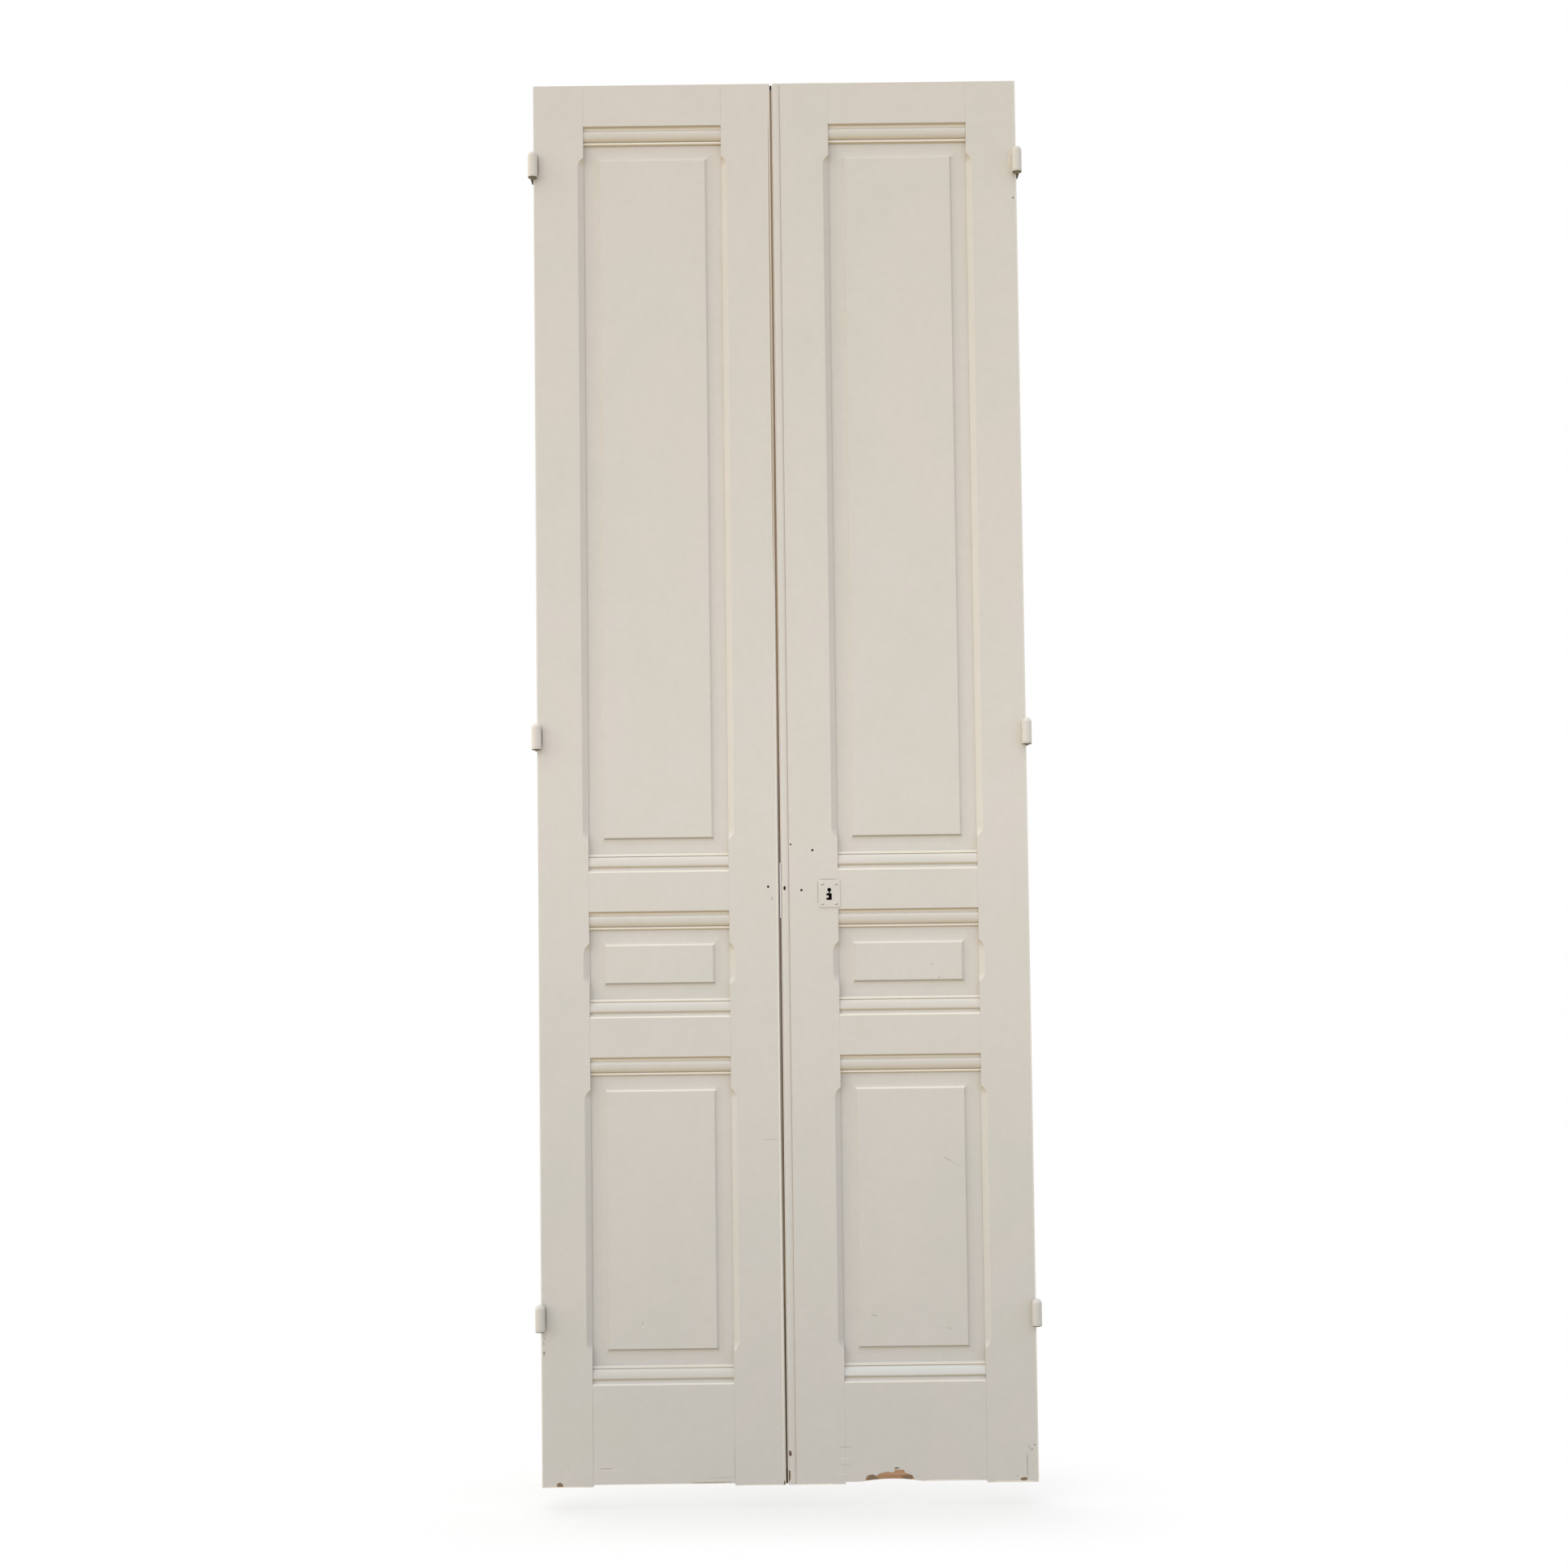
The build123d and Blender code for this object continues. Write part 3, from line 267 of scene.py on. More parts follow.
def soften(piece, width):
    """Rounds a piece's arrises a little, as planing and thick paint do."""
    weld = piece.modifiers.new("join_faces", "WELD")
    weld.merge_threshold = 0.00001
    flat = piece.modifiers.new("plain_faces", "DECIMATE")
    flat.decimate_type = "DISSOLVE"
    flat.angle_limit = math.radians(0.5)
    arris = piece.modifiers.new("soft_arris", "BEVEL")
    arris.width = width
    arris.segments = 2
    arris.limit_method = "ANGLE"
    arris.angle_limit = math.radians(28)
    arris.use_clamp_overlap = False
    even = piece.modifiers.new("even_shade", "WEIGHTED_NORMAL")
    even.keep_sharp = True


# Each row is a spot of wear, a mark, or painted shade or highlight: its centre, reach, turn, raggedness
# and tone.
STILE_WEAR_AND_PAINTED_LIGHT = {
    "left_hinge_stile": [
        ((-0.4175, FRONT, 0.003), (0.006, 0.012, 0.006), 0.0, 0.9, CHIP_DARK),
        ((-0.4025, FRONT, 0.0375), (0.001, 0.005, 0.0015), 0.0, 0.6, (0.34, 0.31, 0.26, 1)),
        ((-0.404, FRONT, 0.0), (0.05, 0.004, 0.0016), 0.0, 1.4, CREAM),
        ((-0.4258, FRONT, 0.2836), (0.008, 0.003, 0.014), 0.0, 2.0, (0.565, 0.535, 0.47, 1)),
        ((-0.4445, FRONT, 0.2408), (0.0022, 0.006, 0.0042), 0.0, 0.9, (0.3, 0.28, 0.23, 1)),
        ((-0.4442, FRONT, 0.2675), (0.0016, 0.006, 0.0018), 0.0, 0.9, (0.38, 0.36, 0.31, 1)),
        ((-0.4455, FRONT, 0.2586), (0.0014, 0.006, 0.0024), 0.0, 0.9, (0.4, 0.38, 0.33, 1)),
    ],
    "left_meeting_stile": [
        # Painted shade of the gap on the rebated tongue: grimy bare wood, lighter up high, near black at
        # the foot and the top.
        ((-0.007, FRONT + 0.0184, MIDWAY), (0.0065, 0.0176, ALL_ALONG), 0.0, 0.12, GAP_GRIME_AND_SHADE),
        ((-0.007, FRONT + 0.0184, 1.93), (0.0065, 0.0176, 0.83), 0.0, 0.12, UPPER_GAP_WOOD_AND_SHADE),
        ((-0.007, FRONT + 0.0184, 0.0), (0.0065, 0.0176, 0.42), 0.0, 0.12, (0.275, 0.208, 0.1, 1)),
        ((-0.007, FRONT + 0.0184, 0.0), (0.0065, 0.0176, 0.035), 0.0, 0.3, (0.17, 0.115, 0.04, 1)),
        ((-0.007, FRONT + 0.01, LEAF_TOP), (0.005, 0.0095, 0.01), 0.0, 0.2, PAINTED_DEEP_SHADE),
        # Painted shade on the meeting edge's face inside the gap.
        ((-0.0102, FRONT + 0.003, MIDWAY), (0.0014, 0.0029, ALL_ALONG), 0.0, 0.2, GAP_GRIME_AND_SHADE),
        # Painted highlight over rubbed paint along the meeting arris; up high a tan line beside it paints
        # the shade of a wider gap.
        ((-0.0122, FRONT, 0.79), (0.0012, 0.003, 0.8), 0.0, 0.7, CREAM),
        ((-0.0138, FRONT, 2.08), (0.001, 0.003, 0.48), 0.0, 0.7, (0.7, 0.635, 0.525, 1)),
        ((-0.0113, FRONT, 2.08), (0.0017, 0.003, 0.47), 0.0, 0.4, (0.4, 0.315, 0.22, 1)),
        # Painted shade inside an old screw hole.
        ((-0.028, FRONT + 0.002, 1.082), (0.0024, 0.014, 0.0024), 0.0, 0.1, PAINTED_DEEP_SHADE),
        ((-0.0215, FRONT, 1.0604), (0.0017, 0.005, 0.0048), 0.0, 1.8, (0.5, 0.495, 0.46, 1)),
        ((-0.0282, FRONT, 0.6214), (0.017, 0.004, 0.0006), 0.0, 1.0, (0.42, 0.4, 0.35, 1)),
        ((-0.0108, FRONT, 0.003), (0.0016, 0.012, 0.005), 0.0, 1.2, CHIP_DARK),
        ((-0.055, FRONT, 0.0), (0.045, 0.004, 0.0016), 0.0, 1.4, CREAM),
    ],
    "right_meeting_stile": [
        # Painted shade of the gap on the right leaf's edge, darkest at the foot.
        ((-0.0042, FRONT + 0.022, MIDWAY), (0.003, 0.0165, ALL_ALONG), 0.0, 0.12, GAP_GRIME_AND_SHADE),
        ((-0.0042, FRONT + 0.022, 0.0), (0.003, 0.0165, 0.035), 0.0, 0.3, (0.19, 0.125, 0.045, 1)),
        # Painted light in the quirk beside the bead, lifting its shade.
        ((0.0094, FRONT + 0.0012, MIDWAY), (0.0018, 0.0026, LEAF_TOP), 0.0, 0.2, BEAD_QUIRK_LIGHT),
        # Painted shade inside an old screw hole.
        ((0.033, FRONT + 0.002, 1.075), (0.0024, 0.014, 0.0024), 0.0, 0.1, PAINTED_DEEP_SHADE),
        ((0.0535, FRONT, 1.1482), (0.0108, 0.003, 0.0108), 0.0, 0.7, (0.625, 0.595, 0.52, 1)),
        ((0.0535, FRONT, 1.1478), (0.0088, 0.003, 0.009), 0.0, 0.6, PLAIN_PAINT),
        ((0.083, FRONT, 1.0943), (0.02, 0.002, 0.0013), 0.0, 0.5, (0.43, 0.405, 0.355, 1)),
        ((0.0632, FRONT, 1.072), (0.0012, 0.002, 0.024), 0.0, 0.5, (0.47, 0.44, 0.39, 1)),
        # Painted shade inside an old screw hole.
        ((0.054, FRONT + 0.002, 1.148), (0.0024, 0.014, 0.0024), 0.0, 0.1, PAINTED_DEEP_SHADE),
        ((0.014, FRONT + 0.002, 1.159), (0.002, 0.014, 0.002), 0.0, 0.1, (0.33, 0.29, 0.24, 1)),
        ((0.002, FRONT + 0.004, 1.079), (0.0025, 0.014, 0.0044), 0.0, 0.1, (0.25, 0.205, 0.145, 1)),
        ((0.0002, FRONT, 0.0559), (0.0028, 0.008, 0.0058), 0.0, 0.8, (0.13, 0.087, 0.06, 1)),
        ((-0.003, FRONT, 0.017), (0.0036, 0.01, 0.0115), 0.0, 1.3, (0.16, 0.12, 0.06, 1)),
        ((0.0975, FRONT, 0.066), (0.009, 0.003, 0.001), 0.05, 1.4, WRINKLE_DARK),
        ((0.096, FRONT, 0.046), (0.01, 0.003, 0.0009), 0.1, 1.4, WRINKLE_LIGHT),
        ((0.097, FRONT, 0.034), (0.0075, 0.003, 0.0009), -0.05, 1.4, WRINKLE_GREY),
        ((0.096, FRONT, 0.018), (0.009, 0.003, 0.0009), 0.0, 1.4, WRINKLE_LIGHT),
        ((0.05, FRONT, 0.0), (0.055, 0.004, 0.0016), 0.0, 1.4, CREAM),
    ],
    "right_hinge_stile": [
        ((0.4292, FRONT, 0.03), (0.0008, 0.004, 0.027), 0.02, 0.7, (0.33, 0.31, 0.27, 1)),
        ((0.4345, FRONT, 0.0605), (0.0008, 0.004, 0.0085), 0.75, 0.7, (0.38, 0.36, 0.32, 1)),
        ((0.4432, FRONT, 0.0664), (0.0014, 0.004, 0.0018), 0.0, 0.7, (0.2, 0.18, 0.15, 1)),
        ((0.4387, FRONT, 0.0592), (0.0012, 0.004, 0.0012), 0.0, 0.7, (0.25, 0.22, 0.18, 1)),
        ((0.423, FRONT, 0.0055), (0.0065, 0.012, 0.0032), 0.05, 0.9, CHIP_DARK),
        ((0.4, FRONT, 0.0), (0.05, 0.004, 0.003), 0.0, 1.4, CREAM),
        ((0.4434, FRONT, 2.3585), (0.002, 0.005, 0.0024), 0.0, 0.3, (0.25, 0.225, 0.185, 1)),
        ((0.4107, FRONT, 0.012), (0.0014, 0.004, 0.0014), 0.0, 0.6, (0.4, 0.41, 0.4, 1)),
    ],
}
OUTER_EDGE = 0.4494
PALE_RIM = (0.71, 0.67, 0.595, 1)
BARREL_SHADE = (0.34, 0.32, 0.27, 1)
BARREL_STAINS = {
    "bottom": (0.6, 0.565, 0.495, 1), "middle": (0.7, 0.64, 0.555, 1), "top": (0.69, 0.615, 0.505, 1),
}
# Along each outer arris a pale line of rubbed paint and painted highlight. On the left stiles a line of
# painted shade lies beside each barrel, on the right ones a stain.
for side, outer in (("left", -1), ("right", 1)):
    wear_and_painted_light = STILE_WEAR_AND_PAINTED_LIGHT[f"{side}_hinge_stile"]
    wear_and_painted_light.append(((outer * OUTER_EDGE, FRONT, MIDWAY), (0.002, 0.003, LEAF_TOP), 0.0, 0.5, PALE_RIM))
    for place, stain in BARREL_STAINS.items():
        low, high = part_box(f"{side}_{place}_hinge_barrel")
        level, reach = (low.z + high.z) / 2, (high.z - low.z) / 2
        if outer < 0:
            wear_and_painted_light.append(((high.x, FRONT, level - 0.003), (0.0013, 0.004, reach), 0.0, 1.3, BARREL_SHADE))
        else:
            wear_and_painted_light.append(((low.x - 0.002, FRONT, level), (0.004, 0.004, reach), 0.0, 2.0, stain))
for name, wear_and_painted_light in STILE_WEAR_AND_PAINTED_LIGHT.items():
    stile = nodes[name]
    stile.data.materials[0] = painted_wood(name + "_paint", UPRIGHT, wear_and_painted_light)
    if name != "right_meeting_stile":  # its bead is round in the solid already
        soften(stile, ARRIS)

# Rails
# Four cross rails to a leaf, tenoned into the stiles, with a hollow and a round worked along
# their inner edges. Grain and brush run across, and the bottom ones are scuffed and chipped.
CROSSWISE = (9.0, 420.0, 420.0)
JOINT_LINE = (0.45, 0.425, 0.375, 1)
RAIL_WEAR = {
    "left_bottom_rail": [
        ((-0.145, FRONT, 0.0058), (0.045, 0.006, 0.0013), 0.02, 2.0, (0.38, 0.33, 0.26, 1)),
        ((-0.357, FRONT, 0.09), (0.0011, 0.003, 0.092), 0.0, 0.5, JOINT_LINE),
        ((-0.1, FRONT, 0.034), (0.0011, 0.003, 0.036), 0.0, 0.5, JOINT_LINE),
        ((-0.23, FRONT, 0.0035), (0.13, 0.004, 0.0016), 0.0, 1.4, CREAM),
        ((-0.333, FRONT, 0.0325), (0.013, 0.003, 0.0007), 0.0, 0.6, (0.3, 0.28, 0.24, 1)),
        ((-0.322, FRONT, 0.0305), (0.02, 0.003, 0.0007), 0.0, 1.0, (0.66, 0.625, 0.56, 1)),
        ((-0.125, FRONT, 0.0145), (0.028, 0.003, 0.0005), 0.02, 1.4, (0.4, 0.36, 0.3, 1)),
    ],
    "right_bottom_rail": [
        # A whiter band painted as highlight on the upward moulding.
        ((0.225, FRONT, 0.2005), (0.2, 0.02, 0.0085), 0.0, 0.2, (0.624, 0.613, 0.568, 1)),
        ((0.18, FRONT + 0.0012, 0.012), (0.07, 0.0009, 0.03), 0.0, 0.0, None),
        ((0.149, FRONT + 0.0012, 0.01), (0.012, 0.0009, 0.011), 0.0, 1.2, CHIP_DARK),
        ((0.213, FRONT + 0.0012, 0.011), (0.014, 0.0009, 0.005), 0.0, 1.2, CHIP_DARK),
        ((0.1926, FRONT, 0.0277), (0.0052, 0.004, 0.0014), 0.0, 0.8, (0.14, 0.115, 0.08, 1)),
        ((0.29, FRONT, 0.0045), (0.065, 0.004, 0.002), 0.0, 1.4, CREAM),
        ((0.104, FRONT, 0.066), (0.007, 0.003, 0.001), 0.05, 1.4, WRINKLE_DARK),
        ((0.104, FRONT, 0.046), (0.008, 0.003, 0.0009), 0.1, 1.4, WRINKLE_LIGHT),
        ((0.104, FRONT, 0.034), (0.006, 0.003, 0.0009), -0.05, 1.4, WRINKLE_GREY),
    ],
}
# Pale lines of rubbed paint and painted highlight, and dirt with painted shade for quirks.
RUB_AND_HIGHLIGHT = (0.81, 0.74, 0.625, 1)
DIM_RUB_AND_HIGHLIGHT = (0.7, 0.65, 0.565, 1)
QUIRK_DIRT_AND_SHADE = (0.5, 0.455, 0.38, 1)
SHADED_ARRIS = (0.42, 0.35, 0.25, 1)
WHOLE_WIDTH = 2
FILLET_IN, QUIRK_IN, HOLLOW_IN, ARRIS_IN, BROWN_IN = 0.0036, 0.0064, 0.0296, 0.0335, 0.0337


def moulding_wear_and_light(edge, way):
    """The lines along a moulding: its fillet pale with rubbed paint and painted highlight, dirt and
    painted shade in the quirk, and the arris, with a painted highlight over rubbed paint where it
    looks up, and where it looks down painted shade under it and painted light in the hollow."""
    pale = DIM_RUB_AND_HIGHLIGHT if edge < LEAF_TOP * 0.1 else RUB_AND_HIGHLIGHT
    lines = [
        ((0, FRONT + 0.0078, edge - way * FILLET_IN), (WHOLE_WIDTH, 0.0018, 0.0021), 0.0, 0.25, pale),
        ((0, FRONT + 0.0085, edge - way * QUIRK_IN), (WHOLE_WIDTH, 0.002, 0.0012), 0.0, 0.2, QUIRK_DIRT_AND_SHADE),
    ]
    # Looking up: a painted highlight over rubbed paint on the arris.
    if way > 0:
        return lines + [
            ((0, FRONT + 0.0008, edge - ARRIS_IN), (WHOLE_WIDTH, 0.0022, 0.0017), 0.0, 0.25, pale),
        ]
    # Looking down: painted shade under the arris and painted light in the hollow.
    return lines + [
        ((0, FRONT + 0.0006, edge + BROWN_IN), (WHOLE_WIDTH, 0.0012, 0.0013), 0.0, 0.2, SHADED_ARRIS),
        ((0, FRONT + 0.0045, edge + HOLLOW_IN), (WHOLE_WIDTH, 0.0025, 0.0022), 0.0, 0.2, CREAM),
    ]


for side in ("left", "right"):
    for rail_name, below, above in (
        ("bottom_rail", False, True), ("frieze_rail", True, True), ("lock_rail", True, True),
        ("top_rail", True, False),
    ):
        name = f"{side}_{rail_name}"
        low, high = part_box(name)
        wear_and_painted_light = list(RAIL_WEAR.get(name, []))
        if below:
            wear_and_painted_light += moulding_wear_and_light(low.z, -1)
        if above:
            wear_and_painted_light += moulding_wear_and_light(high.z, 1)
        nodes[name].data.materials[0] = painted_wood(name + "_paint", CROSSWISE, wear_and_painted_light)
        soften(nodes[name], ARRIS)

# Panels
# Thin softwood boards whose raised field stands up from a hollowed margin. They sit loose in the
# grooves of stiles and rails and are painted with them.
FIELD = FRONT + 0.0075
MARGIN, MARGIN_MIDDLE = 0.0382, FIELD + 0.0021
FIELD_SHADE = (0.46, 0.44, 0.41, 1)
PANEL_WEAR = {
    "left_lower_panel": [
        ((-0.266, FIELD, 0.2907), (0.0014, 0.003, 0.0042), 0.0, 0.8, (0.49, 0.465, 0.43, 1)),
        ((-0.2647, FIELD, 0.2842), (0.0018, 0.003, 0.0016), 0.0, 0.8, (0.66, 0.63, 0.58, 1)),
    ],
    "right_lower_panel": [
        ((0.1565, FIELD, 0.3001), (0.0062, 0.003, 0.001), -0.28, 0.8, (0.4, 0.39, 0.36, 1)),
        ((0.2941, FIELD, 0.2753), (0.006, 0.003, 0.0011), -0.3, 1.0, (0.44, 0.43, 0.395, 1)),
        ((0.2937, FIELD, 0.5814), (0.0085, 0.003, 0.0009), -0.5, 0.8, (0.42, 0.4, 0.37, 1)),
        ((0.3107, FIELD, 0.5722), (0.0119, 0.003, 0.0006), -0.48, 0.8, (0.5, 0.47, 0.435, 1)),
        ((0.2818, FIELD, 0.5711), (0.0022, 0.003, 0.0019), 0.0, 0.9, (0.54, 0.525, 0.45, 1)),
    ],
    "right_middle_panel": [
        ((0.2702, FIELD, 0.9372), (0.0034, 0.003, 0.0009), 0.0, 0.8, (0.45, 0.42, 0.375, 1)),
        ((0.2835, FIELD, 0.9121), (0.0032, 0.003, 0.001), 0.3, 0.8, (0.46, 0.43, 0.38, 1)),
    ],
}
for side in ("left", "right"):
    for panel_name in ("lower_panel", "middle_panel", "upper_panel"):
        name = f"{side}_{panel_name}"
        low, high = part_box(name)
        # Painted shade along the foot of each field, and a painted highlight along its top edge except on
        # the upper panels.
        wear_and_painted_light = PANEL_WEAR.get(name, []) + [
            ((0, MARGIN_MIDDLE, low.z + MARGIN), (WHOLE_WIDTH, 0.0021, 0.0022), 0.0, 0.2, FIELD_SHADE),
        ]
        if panel_name != "upper_panel":
            wear_and_painted_light.append((
                (0, MARGIN_MIDDLE, high.z - MARGIN), (WHOLE_WIDTH, 0.0021, 0.0022), 0.0, 0.2, RUB_AND_HIGHLIGHT
            ))
        nodes[name].data.materials[0] = painted_wood(name + "_paint", UPRIGHT, wear_and_painted_light)
        soften(nodes[name], ARRIS)

# Hinges
# Lift-off hinges of forged iron: a domed barrel on the leaf turns on a pin that stays on the frame.
# Barrel and collar are painted over with the door, the plates behind are bare iron screwed on.
SCREW_HEAD = {"Head Radius": 0.0038, "Head Height": 0.002, "Shank Radius": 0.002}
HINGE_SCREW = {**SCREW_HEAD, "Length": 0.025}
HINGE_PLACES = tuple(BARREL_STAINS)


def rust_bloom():
    """Where iron has gone brown, as a mask, and the colour of iron and rust together."""
    group, given, out = effect(
        "rust_bloom",
        [("Position", "Vector", (0, 0, 0)), ("Spread", "Float", 0.5),
         ("Iron", "Color", (0.09, 0.084, 0.079, 1)), ("Rust", "Color", (0.128, 0.072, 0.043, 1))],
        [("Color", "Color"), ("Mask", "Float")],
    )
    bloom = noise(group, given["Position"], 90.0, 5.0)
    start = reckon(group, "SUBTRACT", 0.95, given["Spread"])
    mask = spread(group, bloom, start, reckon(group, "ADD", start, 0.27))
    speck = spread(group, noise(group, given["Position"], 700.0, 2.0), 0.3, 0.7, 0.75, 1.2)
    tone = blend(group, mask, given["Iron"], given["Rust"])
    scaled = add(group, "ShaderNodeVectorMath", {0: tone, "Scale": speck}, operation="SCALE").outputs[0]
    group.links.new(scaled, out["Color"])
    group.links.new(mask, out["Mask"])
    return group


RUST_BLOOM = rust_bloom()


def aged_iron(name, rusty):
    """Old dull iron, brown where it has rusted."""
    material, tree, shader, place, _ = new_material(name)
    bloom = place_effect(tree, RUST_BLOOM, {"Position": place, "Spread": rusty})
    relief = add(tree, "ShaderNodeBump", {
        "Strength": 0.4, "Distance": 0.0002, "Height": noise(tree, place, 420.0, 4.0),
    })
    tree.links.new(bloom["Color"], shader.inputs["Base Color"])
    tree.links.new(spread(tree, bloom["Mask"], 0.0, 1.0, 0.85, 0.1), shader.inputs["Metallic"])
    tree.links.new(spread(tree, bloom["Mask"], 0.0, 1.0, 0.46, 0.82), shader.inputs["Roughness"])
    tree.links.new(relief.outputs[0], shader.inputs["Normal"])
    return material


def painted_iron(name, paint_ends, spots=()):
    """Iron painted over with the door, bare behind the level in depth where the paint ends."""
    material, tree, shader, place, facing = new_material(name)
    paint = place_effect(tree, PAINT_TONE, {"Position": place, "Facing": facing})["Color"]
    bloom = place_effect(tree, RUST_BLOOM, {"Position": place, "Spread": 0.5})
    grit = reckon(tree, "SUBTRACT", noise(tree, place, 300.0, 3.0), 0.5)
    ragged = reckon(tree, "MULTIPLY", grit, 0.004)
    depth = add(tree, "ShaderNodeSeparateXYZ", {0: place}).outputs[1]
    bare = spread(tree, reckon(tree, "ADD", depth, ragged), paint_ends, paint_ends + 0.0006)
    lumps = reckon(tree, "ADD", noise(tree, place, 160.0, 2.0), noise(tree, place, 900.0, 2.0))
    color = blend(tree, bare, paint, bloom["Color"])
    color, lumps = wear_and_painted_light_in(tree, place, color, lumps, bloom["Color"], spots)
    relief = add(tree, "ShaderNodeBump", {"Strength": 0.35, "Distance": 0.0003, "Height": lumps})
    tree.links.new(color, shader.inputs["Base Color"])
    tree.links.new(spread(tree, bare, 0.0, 1.0, 0.46, 0.7), shader.inputs["Roughness"])
    tree.links.new(spread(tree, bare, 0.0, 1.0, 0.0, 0.5), shader.inputs["Metallic"])
    tree.links.new(relief.outputs[0], shader.inputs["Normal"])
    shader.inputs["Specular IOR Level"].default_value = 0.35
    return material


def slotted_screws():
    """A tree that sets a countersunk, slotted wood screw on every point, its slot turned at random."""
    tree = bpy.data.node_groups.new("slotted_screws", "GeometryNodeTree")
    tree.interface.new_socket("Geometry", in_out="INPUT", socket_type="NodeSocketGeometry")
    for label in ("Head Radius", "Head Height", "Shank Radius", "Length"):
        tree.interface.new_socket(label, in_out="INPUT", socket_type="NodeSocketFloat")
    tree.interface.new_socket("Way", in_out="INPUT", socket_type="NodeSocketVector")
    tree.interface.new_socket("Seed", in_out="INPUT", socket_type="NodeSocketInt")
    tree.interface.new_socket("Finish", in_out="INPUT", socket_type="NodeSocketMaterial")
    tree.interface.new_socket("Geometry", in_out="OUTPUT", socket_type="NodeSocketGeometry")
    given = tree.nodes.new("NodeGroupInput").outputs
    out = tree.nodes.new("NodeGroupOutput").inputs
    radius, height, shank, length = (
        given["Head Radius"], given["Head Height"], given["Shank Radius"], given["Length"]
    )
    rim = reckon(tree, "MULTIPLY", height, 0.12)
    sunk = add(tree, "ShaderNodeCombineXYZ", {"Z": reckon(tree, "MULTIPLY", height, -1.0)}).outputs[0]
    foot = add(tree, "ShaderNodeCombineXYZ", {"Z": reckon(tree, "MULTIPLY", length, -1.0)}).outputs[0]
    cone = add(tree, "GeometryNodeMeshCone", {
        "Vertices": 28, "Radius Top": radius, "Radius Bottom": shank, "Depth": height,
    }).outputs["Mesh"]
    head = add(tree, "GeometryNodeTransform", {"Geometry": cone, "Translation": sunk}).outputs[0]
    size = add(tree, "ShaderNodeCombineXYZ", {
        "X": reckon(tree, "MULTIPLY", radius, 2.4), "Y": reckon(tree, "MULTIPLY", radius, 0.26),
        "Z": height,
    }).outputs[0]
    slot = add(tree, "GeometryNodeMeshCube", {"Size": size}).outputs["Mesh"]
    cut = add(tree, "GeometryNodeMeshBoolean", {"Mesh 1": head, "Mesh 2": slot}, operation="DIFFERENCE")
    stem = add(tree, "GeometryNodeMeshCone", {
        "Vertices": 16, "Radius Top": shank, "Radius Bottom": reckon(tree, "MULTIPLY", shank, 0.3),
        "Depth": reckon(tree, "SUBTRACT", length, reckon(tree, "ADD", height, rim)),
    }).outputs["Mesh"]
    stem = add(tree, "GeometryNodeTransform", {"Geometry": stem, "Translation": foot}).outputs[0]
    whole = tree.nodes.new("GeometryNodeJoinGeometry")
    tree.links.new(cut.outputs["Mesh"], whole.inputs[0])
    tree.links.new(stem, whole.inputs[0])
    facing = add(
        tree, "FunctionNodeAlignRotationToVector", {"Vector": given["Way"]}, axis="Z"
    ).outputs[0]
    chance = add(tree, "FunctionNodeRandomValue", {"Seed": given["Seed"]}, data_type="FLOAT")
    chance.inputs[3].default_value = math.pi
    spin = add(tree, "FunctionNodeAxisAngleToRotation", {"Axis": (0, 0, 1), "Angle": chance.outputs[1]})
    turned = add(tree, "FunctionNodeRotateRotation", {
        "Rotation": facing, "Rotate By": spin.outputs[0],
    }, rotation_space="LOCAL").outputs[0]
    set_out = add(tree, "GeometryNodeInstanceOnPoints", {
        "Points": given["Geometry"], "Instance": whole.outputs[0], "Rotation": turned,
    }).outputs[0]
    real = add(tree, "GeometryNodeRealizeInstances", {"Geometry": set_out}).outputs[0]
    done = add(
        tree, "GeometryNodeSetMaterial", {"Geometry": real, "Material": given["Finish"]}
    ).outputs[0]
    tree.links.new(done, out["Geometry"])
    return tree


SLOTTED_SCREWS = slotted_screws()
LEVEL_SLACK, HEAD_APART = 0.00001, 0.009


def head_places(node, way):
    """The middles of a screw group's heads, read from its solids."""
    points = [vertex.co.copy() for vertex in nodes[node].data.vertices]
    level = max(point.dot(way) for point in points)
    heads = []
    for point in points:
        if level - point.dot(way) > LEVEL_SLACK:
            continue
        near = [head for head in heads if (head[0] - point).length < HEAD_APART]
        if near:
            near[0].append(point)
        else:
            heads.append([point])
    return [
        Vector([(min(p[axis] for p in head) + max(p[axis] for p in head)) / 2 for axis in range(3)])
        for head in heads
    ]


def fit_screws(node, body, way, sizes, seed, finish):
    """Sets slotted screws where a group of plain ones is, as one mesh on one body."""
    mesh = bpy.data.meshes.new(node + "_places")
    mesh.from_pydata(head_places(node, Vector(way)), [], [])
    places = bpy.data.objects.new(node + "_places", mesh)
    bpy.context.scene.collection.objects.link(places)
    setting = places.modifiers.new("slotted_screws", "NODES")
    setting.node_group = SLOTTED_SCREWS
    values = {**sizes, "Way": way, "Seed": seed, "Finish": finish}
    for item in SLOTTED_SCREWS.interface.items_tree:
        if item.in_out == "INPUT" and item.name in values:
            setting[item.identifier] = values[item.name]
    graph = bpy.context.evaluated_depsgraph_get()
    made = bpy.data.meshes.new_from_object(places.evaluated_get(graph))
    bpy.data.objects.remove(places)
    piece = bpy.data.objects.new(node + "_slotted", made)
    bpy.context.scene.collection.objects.link(piece)
    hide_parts(node)
    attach(piece, body)


